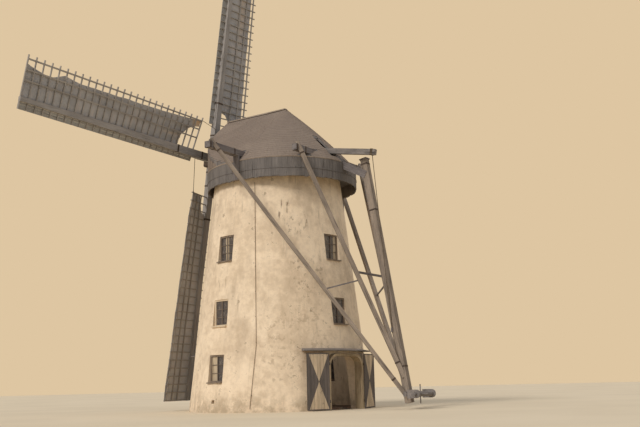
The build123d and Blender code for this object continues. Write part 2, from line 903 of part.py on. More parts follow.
rope_start = lever_end - lever_along * rope_inset
rope_end = Vector((pole_wide + cleat_thick) / 2, cleat_y, rope_foot_z)
with BuildPart() as brake_rope:
    add_beam(tuple(rope_start), tuple(rope_end), 2 * rope_radius, 2 * rope_radius, side=(0, 1, 0))
    add(brake_lever.part, mode=Mode.SUBTRACT)
    add(rope_cleat.part, mode=Mode.SUBTRACT)

with BuildPart() as cap_roof:
    add(roof_outside.part)
    add(roof_inside.part, mode=Mode.SUBTRACT)
    add(long_beam.part, mode=Mode.SUBTRACT)
    add(short_beam.part, mode=Mode.SUBTRACT)
    add(tail_beam.part, mode=Mode.SUBTRACT)
    with BuildSketch(Plane.XY.offset(skirt_top)):
        with Locations((lever_x, (brake_slot_front + brake_slot_rear) / 2)):
            Rectangle(brake_slot_wide, brake_slot_rear - brake_slot_front)
    extrude(amount=ridge_height - skirt_top, mode=Mode.SUBTRACT)

with BuildPart() as cap_front:
    with BuildSketch(Plane(origin=(0, -gable_front, 0), x_dir=(-1, 0, 0), z_dir=(0, 1, 0))):
        roof_profile(roof_thick)
    extrude(amount=gable_thick)
    with BuildSketch(Plane.XY.offset(skirt_top)):
        cap_plan(roof_thick)
    extrude(amount=ridge_height - skirt_top, mode=Mode.INTERSECT)
    foot_half = sqrt((cap_radius - roof_thick) ** 2 - gable_front**2)
    with BuildSketch(Plane(origin=(0, -gable_front, 0), x_dir=(-1, 0, 0), z_dir=(0, 1, 0))):
        with Locations((0, (sheer_bottom + skirt_top) / 2)):
            Rectangle(2 * foot_half, skirt_top - sheer_bottom)
    extrude(amount=gable_thick)
    with BuildSketch(rotor):
        Circle(neck_radius + neck_clearance)
    extrude(amount=-shaft_length, mode=Mode.SUBTRACT)

with BuildPart() as cap_skirt:
    with BuildSketch(Plane.XY.offset(skirt_bottom)):
        cap_plan()
    extrude(amount=skirt_top - skirt_bottom)
    with BuildSketch(Plane.XY.offset(skirt_ledge)):
        cap_plan(-skirt_ledge_out)
    extrude(amount=skirt_ledge_out)
    with BuildSketch(Plane.XY.offset(skirt_bottom)):
        cap_plan(skirt_thick)
    extrude(amount=skirt_top - skirt_bottom, mode=Mode.SUBTRACT)
    add(tail_beam.part, mode=Mode.SUBTRACT)

with BuildPart() as beam_posts:
    with BuildSketch(Plane.XY.offset(skirt_bottom)):
        with Locations((0, long_beam_y)):
            Rectangle(2 * (cap_radius + beam_post_out), beam_post_wide)
            Rectangle(2 * cap_radius - skirt_thick, beam_post_wide, mode=Mode.SUBTRACT)
    extrude(amount=sheer_top - skirt_bottom)
    add(cap_skirt.part, mode=Mode.SUBTRACT)
    add(roof_outside.part, mode=Mode.SUBTRACT)


# Braces from the ends of the two beams to the foot of the tail pole
def brace_pair(beam, top, foot, wide):
    with BuildPart() as braces:
        add_beam(top, foot, wide, wide)
        mirror(about=Plane.YZ)
        add(beam.part, mode=Mode.SUBTRACT)
        add(tail_pole.part, mode=Mode.SUBTRACT)
    return braces


long_brace_top = (long_beam_half - brace_inset, long_beam_y, long_beam_z + beam_tall)
long_brace_foot = (brace_foot_x, pole_y(long_brace_foot_z), long_brace_foot_z)
short_brace_top = (short_beam_half - brace_inset, short_beam_y, short_beam_z + beam_tall)
short_brace_foot = (brace_foot_x, pole_y(short_brace_foot_z), short_brace_foot_z)
long_braces = brace_pair(long_beam, long_brace_top, long_brace_foot, brace_wide)
short_braces = brace_pair(short_beam, short_brace_top, short_brace_foot, short_brace_wide)


def on_brace(top, foot, z):
    k = (top[2] - z) / (top[2] - foot[2])
    return tuple(top[n] + (foot[n] - top[n]) * k for n in range(3))


with BuildPart() as tail_ties:
    near = on_brace(short_brace_top, short_brace_foot, tie_height)
    far = (-near[0], near[1], near[2])
    add_beam(far, near, tie_thick, tie_thick)
    side_start = on_brace(short_brace_top, short_brace_foot, tie_height - 4 * tie_thick)
    side_end = on_brace(long_brace_top, long_brace_foot, side_tie_height)
    with BuildPart(mode=Mode.PRIVATE) as side_tie:
        add_beam(side_start, side_end, side_tie_thick, side_tie_thick)
    add(side_tie.part)
    add(mirror(side_tie.part, about=Plane.YZ, mode=Mode.PRIVATE))
    add(short_braces.part, mode=Mode.SUBTRACT)
    add(long_braces.part, mode=Mode.SUBTRACT)

# Winch: a cross beam on the back of the tail pole, two cheeks on it, and a drum with crossed handspikes
winch_beam_y = pole_y(winch_height) + pole_wide / 2 + 40
winch_axis_y = winch_beam_y + winch_beam_deep + winch_reach
with BuildPart() as winch_frame:
    with BuildSketch(Plane.XZ.offset(-winch_beam_y)):
        with Locations((0, winch_height)):
            Rectangle(2 * winch_half_length, winch_beam_tall)
    extrude(amount=-winch_beam_deep)
    for hand in (1, -1):
        with BuildSketch(Plane.YZ.offset(hand * (winch_half_length - winch_cheek_thick) - winch_cheek_thick / 2)):
            with BuildLine():
                Polyline(
                    (winch_beam_y + winch_beam_deep, winch_height - winch_cheek_tall / 2),
                    (winch_axis_y, winch_height - winch_cheek_tall / 2),
                    (winch_axis_y, winch_height + winch_cheek_tall / 2),
                    (winch_beam_y + winch_beam_deep, winch_height + winch_cheek_tall / 2),
                    close=True,
                )
            make_face()
            with Locations((winch_axis_y, winch_height)):
                Circle(winch_cheek_tall / 2)
                Circle(winch_journal_radius + journal_gap, mode=Mode.SUBTRACT)
        extrude(amount=winch_cheek_thick)
    with BuildSketch(Plane.XZ.offset(-winch_beam_y)):
        with Locations((0, winch_height)):
            Rectangle(pole_wide, winch_beam_tall)
    extrude(amount=pole_wide)
    add(tail_pole.part, mode=Mode.SUBTRACT)
    add(long_braces.part, mode=Mode.SUBTRACT)

drum_half = winch_half_length - 2 * winch_cheek_thick - leaf_gap
with BuildPart() as winch_drum:
    with BuildSketch(Plane.YZ):
        with Locations((winch_axis_y, winch_height)):
            Circle(winch_drum_radius)
    extrude(amount=drum_half, both=True)
    with BuildSketch(Plane.YZ):
        with Locations((winch_axis_y, winch_height)):
            Circle(winch_journal_radius)
    extrude(amount=winch_half_length + winch_cheek_thick, both=True)
    for across, plane in ((winch_spoke_place, Plane.XY), (winch_spoke_place + 3 * winch_spoke_radius, Plane.XZ)):
        with BuildSketch(Plane(origin=(across, winch_axis_y, winch_height), z_dir=plane.z_dir)):
            RegularPolygon(winch_spoke_radius, 8)
        extrude(amount=winch_spoke_length / 2, both=True)

# Files
nodes = {
    "lower_wall_left_rear": lower_wall_left_rear,
    "lower_wall_left": lower_wall_left,
    "lower_wall_left_front": lower_wall_left_front,
    "lower_wall_right_front": lower_wall_right_front,
    "lower_wall_right": lower_wall_right,
    "lower_wall_right_rear": lower_wall_right_rear,
    "wall_over_door": wall_over_door,
    "wall_over_back_door": wall_over_back_door,
    "upper_wall_left": upper_wall_left,
    "upper_wall_door_side": upper_wall_door_side,
    "upper_wall_right": upper_wall_right,
    "upper_wall_back": upper_wall_back,
    "ground_floor": ground_floor,
    "upper_floors": upper_floors,
    "window_frames": window_frames,
    "window_panes": window_panes,
    "door_frames": door_frames,
    "door_hoods": door_hoods,
    "back_door_leaves": back_door_leaves,
    "door_pintles": door_pintles,
    "door_leaf_left": door_leaf_left,
    "door_leaf_right": door_leaf_right,
    "wall_wire": wall_wire,
    "wire_clips": wire_clips,
    "curb_ring": curb_ring,
    "cap_ring": cap_ring,
    "cap_timbers": cap_timbers,
    "cap_skirt": cap_skirt,
    "cap_roof": cap_roof,
    "cap_front": cap_front,
    "long_beam": long_beam,
    "beam_posts": beam_posts,
    "short_beam": short_beam,
    "tail_beam": tail_beam,
    "tail_pole": tail_pole,
    "long_braces": long_braces,
    "short_braces": short_braces,
    "tail_ties": tail_ties,
    "winch_frame": winch_frame,
    "winch_drum": winch_drum,
    "brake_lever": brake_lever,
    "brake_rope": brake_rope,
    "rope_cleat": rope_cleat,
    "windshaft": windshaft,
    "poll_end": poll_end,
    "outer_stock": outer_stock,
    "inner_stock": inner_stock,
    "sail_frames": sail_frames,
    "lead_boards": lead_boards,
    "sail_cloths": sail_cloths,
    "sail_stays": sail_stays,
}
for label, node in nodes.items():
    node.part.label = label
    export_step(node.part, f"parts/{label}.step")
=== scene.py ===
"""Looks of the round tower mill: flaking whitewash, weathered timber, shingles, canvas and iron."""
import json
import random
from math import atan2, cos, pi, radians, sin, sqrt

import bmesh
import bpy
from mathutils import Matrix, Vector, noise


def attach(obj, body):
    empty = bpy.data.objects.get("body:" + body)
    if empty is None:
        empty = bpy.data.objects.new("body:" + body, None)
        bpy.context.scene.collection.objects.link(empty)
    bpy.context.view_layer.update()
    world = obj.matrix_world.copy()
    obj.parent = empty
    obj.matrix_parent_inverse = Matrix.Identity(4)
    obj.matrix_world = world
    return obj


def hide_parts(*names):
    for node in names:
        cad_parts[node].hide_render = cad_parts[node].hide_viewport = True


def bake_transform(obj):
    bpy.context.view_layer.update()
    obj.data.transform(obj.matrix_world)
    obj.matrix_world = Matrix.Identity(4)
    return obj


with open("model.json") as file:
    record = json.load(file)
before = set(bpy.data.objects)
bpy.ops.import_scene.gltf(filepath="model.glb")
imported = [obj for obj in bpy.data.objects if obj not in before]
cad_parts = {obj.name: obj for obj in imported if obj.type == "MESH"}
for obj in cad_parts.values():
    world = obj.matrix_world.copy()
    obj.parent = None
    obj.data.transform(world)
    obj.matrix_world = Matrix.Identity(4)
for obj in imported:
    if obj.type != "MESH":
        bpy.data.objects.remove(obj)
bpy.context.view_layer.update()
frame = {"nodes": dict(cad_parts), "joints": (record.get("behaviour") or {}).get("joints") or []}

# Sizes that the frame doesn't give, in metres and degrees, as the mill was built
# Tower
FOOT_RADIUS, HEAD_RADIUS, WALL_HEIGHT = 4.28, 3.08, 10.85
DOOR_SIDE, BACK_SIDE, LEFT_SIDE, RIGHT_SIDE = 82, 262, -8, 172
SILLS = (1.26, 3.73, 6.68)
WINDOW_WIDE, WINDOW_TALL, MEMBER, REVEAL, PANE_SET = 0.94, 1.24, 0.075, 0.11, 0.05
LEAF_WIDTH, LEAF_MIDDLE, LEAF_HALF = 1.164, 1.24, 1.21
# Door leaves: side, foot of the hinge line, way out from it along the open leaf
LEAVES = (
    ("left", (1.73771, 3.95767, 0), (0.9135, -0.4067, 0)),
    ("right", (-0.57951, 4.28334, 0), (-0.990, -0.139, 0)),
)
# Cap
TAIL_SHIFT, CAP_RADIUS, CAP_FRONT = 0.52, 3.42, 3.12
LEDGE, OVER_LEDGE, SKIRT_BOTTOM, SKIRT_TOP = 10.8, 0.037, 10.43, 11.35
ROOF_PROFILE = ((0, 14.64), (1.9494, 12.90), (CAP_RADIUS, SKIRT_TOP))
GABLE_Y, NECK_HALF, NECK_TOP = -2.85, 0.5, 13.3
LONG_BEAM_Y, LONG_BEAM_Z, LONG_BEAM_SIZE = 0.2, 11.71, (0.3, 0.28)
SHORT_BEAM_Y, SHORT_BEAM_Z, SHORT_BEAM_SIZE = 3.12, 11.64, (0.24, 0.28)
# Tail and brake
POLE_HEAD, POLE_FOOT, POLE_WIDE = (0, 5.02, 11.3), (0, 6.88, 0.26), 0.3
POLE_WAY, BRACE_WAY, SHORT_BRACE_WAY = (0, 1.86, -11.04), (-5.19, 6.67, -11.5), (-2.64, 3.58, -10.6)
LEVER_PIVOT, LEVER_END = Vector((0.45, 1.7, 12.2206)), Vector((0.45, 5.88, 11.4406))
LEVER_WIDE, LEVER_DEEP = 0.2, 0.26
# Sails
HUB = next(Vector(joint["pos_m"]) for joint in frame["joints"] if joint["name"] == "sails_spin")
SHAFT_TILT, REST_TURN = radians(7.3), 0.7
POLL_HALF, STOCK_SPACING = 0.36, 0.35
STOCK_ROOT_HALF, STOCK_TIP_HALF, STOCK_DEEP = 0.2, 0.095, 0.31
SAIL_START, SAIL_LENGTH = 1.95, 12.37
TRAIL_WIDTH, LEAD_WIDTH = 1.72, 0.425
BAR_DEEP, BAR_COUNT = 0.06, 27
BAR_STEP = (SAIL_LENGTH - SAIL_START) / (BAR_COUNT - 1)
ROOT_TWIST, TIP_TWIST = 15.5, 6.2

# Camera: where it stands, how far it looks up and how its frame is turned
CAMERA_PLACE = Vector((34.0887, 25.1591, 1.1636))
CAMERA_AIM = Vector((-0.8325, -0.5541, 0)).normalized()
CAMERA_PITCH = radians(10.956)
CAMERA_ROLL = radians(-1.303)
CAMERA_LENS = 49.35

# Directions: along the beams, to the tail and up, and the two sides of the mill
ALONG, BACK, UP = (1, 0, 0), (0, 1, 0), (0, 0, 1)
HANDS = (-1, 1)

random.seed(7)


def seen(r, g, b):
    """A colour as the eye sees it, 0 to 255, as the linear value that shaders use."""
    return tuple(((c / 255 + 0.055) / 1.055) ** 2.4 for c in (r, g, b)) + (1.0,)


def darker(tone, share):
    """A tone at a share of its lightness."""
    return tuple(share * c for c in tone)


# Shader graphs
def is_socket(value):
    return isinstance(value, bpy.types.NodeSocket)


def add(tree, kind, **settings):
    """A new node of a graph, with its settings."""
    made = tree.nodes.new(kind)
    for name, value in settings.items():
        setattr(made, name, value)
    return made


def put(kind, links, **settings):
    """What a new node puts out; links gives each input a plain value or a socket, which tells the graph."""
    tree = next(value.id_data for value in links.values() if is_socket(value))
    made = add(tree, kind, **settings)
    for name, value in links.items():
        if is_socket(value):
            tree.links.new(value, made.inputs[name])
        else:
            made.inputs[name].default_value = value
    return made.outputs


def maths(operation, a, b=0.0, clamp=False):
    return put("ShaderNodeMath", {0: a, 1: b}, operation=operation, use_clamp=clamp)[0]


def times(a, b):
    return maths("MULTIPLY", a, b)


def over(a, b, clamp=False):
    return maths("DIVIDE", a, b, clamp)


def plus(a, b):
    return maths("ADD", a, b)


def less(a, b):
    return maths("SUBTRACT", a, b)


def size_of(value):
    return maths("ABSOLUTE", value)


def vector_maths(operation, a, b):
    return put("ShaderNodeVectorMath", {0: a, 1: b}, operation=operation)


def stretched(vector, scale):
    return vector_maths("MULTIPLY", vector, scale)[0]


def from_point(vector, origin):
    return vector_maths("SUBTRACT", vector, origin)[0]


def measured(vector, direction):
    """How far a place lies along a direction."""
    return vector_maths("DOT_PRODUCT", vector, direction)["Value"]


def axes_of(vector):
    return put("ShaderNodeSeparateXYZ", {0: vector})


def vector_of(x, y, z):
    return put("ShaderNodeCombineXYZ", {0: x, 1: y, 2: z})[0]


def fade(value, low, high):
    """0 below low, 1 above high, and a soft step between."""
    links = {"Value": value, "From Min": low, "From Max": high}
    return put("ShaderNodeMapRange", links, interpolation_type="SMOOTHSTEP")[0]


def speckle(vector, scale, detail=4.0, rough=0.55):
    """Cloudy noise, about 0.5."""
    links = {"Vector": vector, "Scale": scale, "Detail": detail, "Roughness": rough}
    return put("ShaderNodeTexNoise", links)[0]


def blend_colours(amount, a, b):
    return put("ShaderNodeMix", {0: amount, 6: a, 7: b}, data_type="RGBA")[2]


def two_tones(amount, a, b):
    """From one colour as the eye sees it to another."""
    return blend_colours(amount, seen(*a), seen(*b))


def stain(colour, mask, amount, tone):
    """Lays a tone over a colour where a mask is high."""
    return blend_colours(times(mask, amount), colour, seen(*tone))


def shared(name, numbers, outputs, with_place=True):
    """An empty shader group: a place and named numbers go in, and named values come out."""
    tree = bpy.data.node_groups.new(name, "ShaderNodeTree")
    if with_place:
        tree.interface.new_socket(name="Vector", in_out="INPUT", socket_type="NodeSocketVector")
    for label, value in numbers.items():
        socket = tree.interface.new_socket(name=label, in_out="INPUT", socket_type="NodeSocketFloat")
        socket.default_value = value
    for label in outputs:
        tree.interface.new_socket(name=label, in_out="OUTPUT", socket_type="NodeSocketFloat")
    return add(tree, "NodeGroupInput").outputs, add(tree, "NodeGroupOutput")


def give(out, **values):
    """Links a group's results to its output node, and gives back the group."""
    for label, value in values.items():
        out.id_data.links.new(value, out.inputs[label])
    return out.id_data


def use(group, links):
    """What a shared group puts out for its inputs."""
    return put("ShaderNodeGroup", links, node_tree=group)


def make_grain():
    """Weathered timber with its length along X: fibres, drying cracks and grey blotches."""
    given, out = shared("timber_grain", {"Fine": 1.0}, ("Shade", "Crack", "Height"))
    links = {0: given["Vector"], "Scale": given["Fine"]}
    scaled = put("ShaderNodeVectorMath", links, operation="SCALE")[0]
    fibre = speckle(stretched(scaled, (1.2, 30, 30)), 1.6, 6, 0.6)
    blotch = speckle(stretched(scaled, (0.5, 2.2, 2.2)), 1.3, 4)
    split = speckle(stretched(scaled, (0.45, 13, 13)), 1.1, 3)
    crack = fade(split, 0.63, 0.69)
    shade = plus(times(fibre, 0.55), times(blotch, 0.45))
    return give(out, Shade=shade, Crack=crack, Height=less(times(fibre, 0.5), crack))


def make_streaks():
    """Stains that run down a surface."""
    given, out = shared("rain_streaks", {"Scale": 1.0}, ("Mask",))
    thin = speckle(stretched(given["Vector"], (7, 7, 0.55)), given["Scale"], 5, 0.6)
    broad = speckle(stretched(given["Vector"], (1.6, 1.6, 0.4)), given["Scale"], 3)
    return give(out, Mask=times(fade(thin, 0.5, 0.72), fade(broad, 0.42, 0.68)))


def make_lime():
    """Lime wash on rubble masonry: soft stones below, blotches, flaked patches and grime."""
    given, out = shared("lime_wash", {}, ("Shade", "Bare", "Grime", "Height"))
    place = given["Vector"]
    drift = put("ShaderNodeTexNoise", {"Vector": place, "Scale": 2.0})[1]
    warped = vector_maths("ADD", place, stretched(drift, (0.2, 0.2, 0.2)))[0]
    links = {"Vector": stretched(warped, (2.6, 2.6, 4.6)), "Scale": 1.0}
    stones = put("ShaderNodeTexVoronoi", links, feature="DISTANCE_TO_EDGE")[0]
    stone = fade(stones, 0.0, 0.18)
    cloud = speckle(place, 0.55, 5, 0.6)
    mottle = speckle(place, 3.2, 6, 0.65)
    fine = speckle(place, 22.0, 5, 0.7)
    shade = plus(times(cloud, 0.5), times(mottle, 0.5))
    worn = plus(times(mottle, 0.62), times(fine, 0.38))
    region = fade(speckle(place, 0.8, 3), 0.44, 0.66)
    bare = times(fade(worn, 0.56, 0.63), region)
    grime = fade(speckle(stretched(place, (0.9, 0.9, 0.35)), 1.0, 5, 0.62), 0.48, 0.74)
    lumps = plus(times(stone, 0.12), times(mottle, 0.5))
    height = plus(lumps, less(times(fine, 0.3), times(bare, 0.35)))
    return give(out, Shade=shade, Bare=bare, Grime=grime, Height=height)


def make_weave():
    """Plain weave of canvas in a sheet's own flat coordinates, in metres."""
    given, out = shared("plain_weave", {"Threads": 240.0}, ("Height",))
    axes = axes_of(given["Vector"])
    waves = [maths("SINE", times(axes[k], given["Threads"])) for k in (0, 1)]
    return give(out, Height=times(*waves))


def make_seams():
    """Gaps between boards that lie side by side, and a tone of its own for each board."""
    given, out = shared("board_seams", {"Across": 0.0, "Width": 0.2}, ("Gap", "Tone"), with_place=False)
    count = over(given["Across"], given["Width"])
    within = size_of(less(maths("FRACT", count), 0.5))
    tone = put("ShaderNodeTexWhiteNoise", {"W": maths("FLOOR", count)}, noise_dimensions="1D")[0]
    return give(out, Gap=fade(within, 0.465, 0.49), Tone=tone)


def make_hourglass():
    """Two triangles that meet at their points, from a place across and up a leaf, both -1 to 1."""
    given, out = shared("hourglass", {"Across": 0.0, "Up": 0.0}, ("Mask",), with_place=False)
    across, up = size_of(given["Across"]), size_of(given["Up"])
    inside = fade(less(up, across), 0.0, 0.02)
    return give(out, Mask=times(inside, maths("LESS_THAN", up, 1.0)))


def make_region():
    """A soft-edged field on the round wall, about a bearing in radians and between two heights."""
    soft = 0.35
    given, out = shared("wall_region", dict.fromkeys(("Bearing", "Half", "Low", "High"), 0.0), ("Mask",))
    axes = axes_of(given["Vector"])
    bearing = maths("ARCTAN2", axes[1], axes[0])
    off = size_of(less(bearing, given["Bearing"]))
    side = less(1.0, fade(over(off, given["Half"]), 0.6, 1.0))
    bottom = over(less(axes[2], given["Low"]), soft, clamp=True)
    top = over(less(given["High"], axes[2]), soft, clamp=True)
    return give(out, Mask=times(side, times(bottom, top)))


GRAIN, STREAKS, LIME, REGION = make_grain(), make_streaks(), make_lime(), make_region()
WEAVE, SEAMS, HOURGLASS = make_weave(), make_seams(), make_hourglass()


# Finishes
def new_finish(name, rough):
    """A material with its shader, and the place on the object that patterns are read from."""
    finish = bpy.data.materials.new(name)
    finish.use_nodes = True
    surface = finish.node_tree.nodes["Principled BSDF"]
    surface.inputs["Roughness"].default_value = rough
    surface.inputs["Specular IOR Level"].default_value = 0.25
    return finish, surface, add(finish.node_tree, "ShaderNodeTexCoord").outputs["Object"]


def feed(surface, label, value):
    """Links a value to an input of a shader."""
    surface.id_data.links.new(value, surface.inputs[label])


def mesh_value(surface, name):
    """A point value of the mesh, by its name."""
    return add(surface.id_data, "ShaderNodeAttribute", attribute_name=name).outputs["Fac"]


def coat(surface, colour, height=None, depth=0.0):
    """Gives a shader its colour and, where there is one, its relief with the depth in metres."""
    feed(surface, "Base Color", colour)
    if height:
        feed(surface, "Normal", put("ShaderNodeBump", {"Height": height, "Distance": depth})[0])


def along_x(place, direction, mirrored=False):
    """Turns a place so that a timber's own direction lies along X; mirrored serves a pair of them at once."""
    if mirrored:
        axes = axes_of(place)
        place = vector_of(size_of(axes[0]), axes[1], axes[2])
    turn = Vector(direction).rotation_difference(Vector(ALONG)).to_euler("XYZ")
    return put("ShaderNodeMapping", {"Vector": place, "Rotation": turn})[0]


def region_mask(place, bearing, half, low, high):
    """The field of the round wall within half a width of a bearing, both in degrees, and between heights."""
    links = {"Vector": place, "Bearing": radians(bearing), "Half": radians(half), "Low": low, "High": high}
    return use(REGION, links)["Mask"]


def timber(name, direction, light, dark, fine=1.0, depth=0.006, mirrored=False, seams=None, painted=None):
    """Weathered timber, its grain along a direction.

    Seams are the direction that its boards lie side by side in, and their width. Painted is a field of the
    wall, as region_mask takes it, and the tone of the paint left there.
    """
    finish, surface, place = new_finish(name, 0.82)
    grain = use(GRAIN, {"Vector": along_x(place, direction, mirrored), "Fine": fine})
    colour = two_tones(fade(grain["Shade"], 0.34, 0.68), dark, light)
    deep = darker(dark, 0.45)
    colour = stain(colour, grain["Crack"], 0.75, deep)
    wet = use(STREAKS, {"Vector": place, "Scale": 1.3})["Mask"]
    colour = stain(colour, wet, 0.45, dark)
    height = grain["Height"]
    if seams:
        side, width = seams
        boards = use(SEAMS, {"Across": measured(place, side), "Width": width})
        colour = stain(colour, boards["Tone"], 0.5, dark)
        colour = stain(colour, boards["Gap"], 0.85, deep)
        height = less(height, times(boards["Gap"], 2.0))
    if painted:
        field, tone = painted
        colour = stain(colour, region_mask(place, *field), 0.85, tone)
    coat(surface, colour, height, depth)
    return finish


# Marks on the wash: bearing and half width in degrees, low and high, tone, size of its spots, strength
WALL_MARKS = (
    (41, 6, 8.1, 9.6, (128, 104, 84), (9, 9, 1.2), 0.85),
    (52, 11, 7.6, 8.9, (140, 118, 96), (9, 9, 2.6), 0.5),
    (58, 16, 5.0, 6.9, (150, 128, 104), (5, 5, 5), 0.6),
    (50, 32, 1.0, 4.6, (176, 152, 124), (4, 4, 4), 0.5),
    (LEFT_SIDE, 7, 5.3, 6.6, (150, 126, 100), (11, 11, 1.0), 0.5),
    (RIGHT_SIDE, 7, 5.3, 6.6, (150, 126, 100), (11, 11, 1.0), 0.5),
)


def whitewash():
    """Lime wash, stained by rain and splashed at its foot, with worn marks at their own places."""
    finish, surface, place = new_finish("whitewash", 0.93)
    lime = use(LIME, {"Vector": place})
    colour = two_tones(fade(lime["Shade"], 0.36, 0.62), (213, 189, 158), (242, 219, 187))
    colour = stain(colour, lime["Grime"], 0.5, (177, 155, 129))
    wet = use(STREAKS, {"Vector": place, "Scale": 0.9})["Mask"]
    colour = stain(colour, wet, 0.45, (150, 130, 106))
    colour = stain(colour, lime["Bare"], 0.75, (146, 124, 98))
    foot = less(1.0, fade(axes_of(place)[2], 0.05, 1.1))
    splash = times(foot, fade(speckle(place, 2.0, 5, 0.65), 0.38, 0.62))
    colour = stain(colour, splash, 0.55, (140, 122, 96))
    for *field, tone, grain, how_much in WALL_MARKS:
        spots = fade(speckle(stretched(place, grain), 1.0, 5, 0.62), 0.54, 0.64)
        colour = stain(colour, times(spots, region_mask(place, *field)), how_much, tone)
    coat(surface, colour, lime["Height"], 0.014)
    return finish


def canvas(name="sailcloth", dark=(155, 151, 148), light=(176, 171, 166)):
    """Coarse sailcloth, greyed by the weather, with ruddy streaks, dark blots and its mesh's pale marks,
    among them a painted highlight on a folded corner.
    """
    finish, surface, _ = new_finish(name, 0.9)
    flat = add(surface.id_data, "ShaderNodeUVMap").outputs[0]
    colour = two_tones(fade(speckle(flat, 0.9, 5, 0.62), 0.34, 0.66), dark, light)
    streak = speckle(stretched(flat, (0.7, 5.5, 1)), 1.3, 5, 0.6)
    colour = stain(colour, fade(streak, 0.5, 0.72), 0.5, (195, 175, 161))
    blot = speckle(stretched(flat, (1.4, 1.4, 1)), 1.1, 6, 0.68)
    colour = stain(colour, fade(blot, 0.56, 0.74), 0.4, (131, 123, 117))
    # The mesh's pale value lightens the cloth: pale marks, and a painted highlight on a folded corner.
    colour = blend_colours(mesh_value(surface, "pale"), colour, seen(220, 189, 153))
    weave = use(WEAVE, {"Vector": flat, "Threads": 900.0})["Height"]
    height = plus(times(weave, 0.08), speckle(flat, 5.0, 5, 0.6))
    coat(surface, colour, height, 0.02)
    return finish


def iron(name="iron", light=(98, 82, 70), dark=(70, 62, 56)):
    """Wrought and cast iron with a skin of rust."""
    finish, surface, place = new_finish(name, 0.7)
    rust = fade(speckle(place, 14.0, 6, 0.65), 0.3, 0.75)
    feed(surface, "Metallic", maths("SUBTRACT", 0.6, times(rust, 0.5), clamp=True))
    coat(surface, two_tones(rust, dark, light), speckle(place, 60.0, 4), 0.002)
    return finish


def rope():
    """Twisted hemp: slanting strands, and dirt in places."""
    finish, surface, place = new_finish("rope", 0.95)
    links = {"Vector": place, "Scale": 22.0, "Distortion": 0.6}
    lay = put("ShaderNodeTexWave", links, bands_direction="DIAGONAL")[1]
    colour = two_tones(lay, (74, 64, 52), (124, 108, 88))
    dirt = fade(speckle(place, 6.0, 5), 0.5, 0.7)
    coat(surface, blend_colours(dirt, colour, seen(70, 60, 50)), lay, 0.004)
    return finish


def glass():
    """Old panes, dull with dust."""
    finish, surface, place = new_finish("glass", 0.12)
    dust = fade(speckle(place, 5.0, 6, 0.7), 0.45, 0.75)
    coat(surface, two_tones(dust, (78, 72, 70), (128, 116, 104)))
    feed(surface, "Roughness", plus(0.08, times(dust, 0.5)))
    surface.inputs["Specular IOR Level"].default_value = 0.5
    return finish


def bricks():
    """The mill's own floor of worn and dusty bricks."""
    finish, surface, place = new_finish("floor_bricks", 0.9)
    tones = {"Color1": seen(134, 104, 84), "Color2": seen(108, 86, 72), "Mortar": seen(92, 82, 70)}
    laying = {"Vector": place, "Scale": 1.0, "Mortar Size": 0.008, "Brick Width": 0.22, "Row Height": 0.11}
    courses = put("ShaderNodeTexBrick", {**tones, **laying})
    dust = fade(speckle(place, 2.4, 6, 0.65), 0.45, 0.7)
    colour = blend_colours(dust, courses[0], seen(140, 124, 100))
    coat(surface, colour, less(1.0, courses[1]), 0.006)
    return finish


def leaf_paint(name, hinge, outward):
    """Dark boards with a pale hourglass; the place on the leaf is measured from its hinge."""
    hourglass_wide, hourglass_tall, boards_in_leaf = 0.43, 0.96, 7
    finish, surface, place = new_finish(name, 0.8)
    reach = measured(from_point(place, hinge), outward)
    across = over(less(reach, LEAF_WIDTH / 2), LEAF_WIDTH * hourglass_wide)
    height = less(axes_of(place)[2], LEAF_MIDDLE)
    up = over(height, LEAF_HALF * hourglass_tall)
    shape = use(HOURGLASS, {"Across": across, "Up": up})["Mask"]
    grain = use(GRAIN, {"Vector": along_x(place, UP), "Fine": 1.4})
    boards = use(SEAMS, {"Across": reach, "Width": LEAF_WIDTH / boards_in_leaf})
    shade = fade(grain["Shade"], 0.36, 0.64)
    pale = two_tones(shade, (188, 166, 136), (222, 198, 164))
    dark = two_tones(shade, (86, 79, 74), (114, 104, 96))
    worn = fade(speckle(place, 7.0, 6, 0.7), 0.6, 0.68)
    mask = times(shape, less(1.0, times(worn, 0.8)))
    colour = blend_colours(mask, dark, pale)
    colour = stain(colour, boards["Gap"], 0.8, (34, 30, 27))
    colour = stain(colour, boards["Tone"], 0.25, (96, 87, 79))
    coat(surface, colour, less(grain["Height"], times(boards["Gap"], 2.0)), 0.006)
    return finish


def shingle_finish():
    """Oak shingles: each has its own tone, held in the mesh as the point value called tone."""
    finish, surface, place = new_finish("shingles", 0.86)
    fibre = speckle(stretched(place, (30, 30, 3)), 1.4, 5, 0.6)
    colour = two_tones(times(mesh_value(surface, "tone"), 0.6), (132, 116, 103), (137, 122, 107))
    cloud = speckle(place, 0.7, 5, 0.6)
    colour = stain(colour, fade(cloud, 0.42, 0.66), 0.45, (152, 135, 119))
    colour = stain(colour, fade(fibre, 0.45, 0.75), 0.3, (115, 102, 90))
    wet = use(STREAKS, {"Vector": place, "Scale": 1.2})["Mask"]
    colour = stain(colour, wet, 0.35, (106, 94, 83))
    coat(surface, colour, fibre, 0.003)
    return finish


def rotor_timber(name, light, dark):
    """Timber on the rotor: the grain runs out from the hub, along each of the four sails."""
    finish, surface, place = new_finish(name, 0.84)
    offset = from_point(place, HUB)
    axes = axes_of(offset)
    level = maths("GREATER_THAN", size_of(axes[0]), size_of(axes[2]))
    swapped = vector_of(axes[2], axes[1], axes[0])
    turned = put("ShaderNodeMix", {0: level, 4: swapped, 5: offset}, data_type="VECTOR")[1]
    grain = use(GRAIN, {"Vector": turned, "Fine": 1.2})
    colour = two_tones(fade(grain["Shade"], 0.34, 0.68), dark, light)
    colour = stain(colour, grain["Crack"], 0.6, darker(dark, 0.5))
    coat(surface, colour, grain["Height"], 0.004)
    return finish


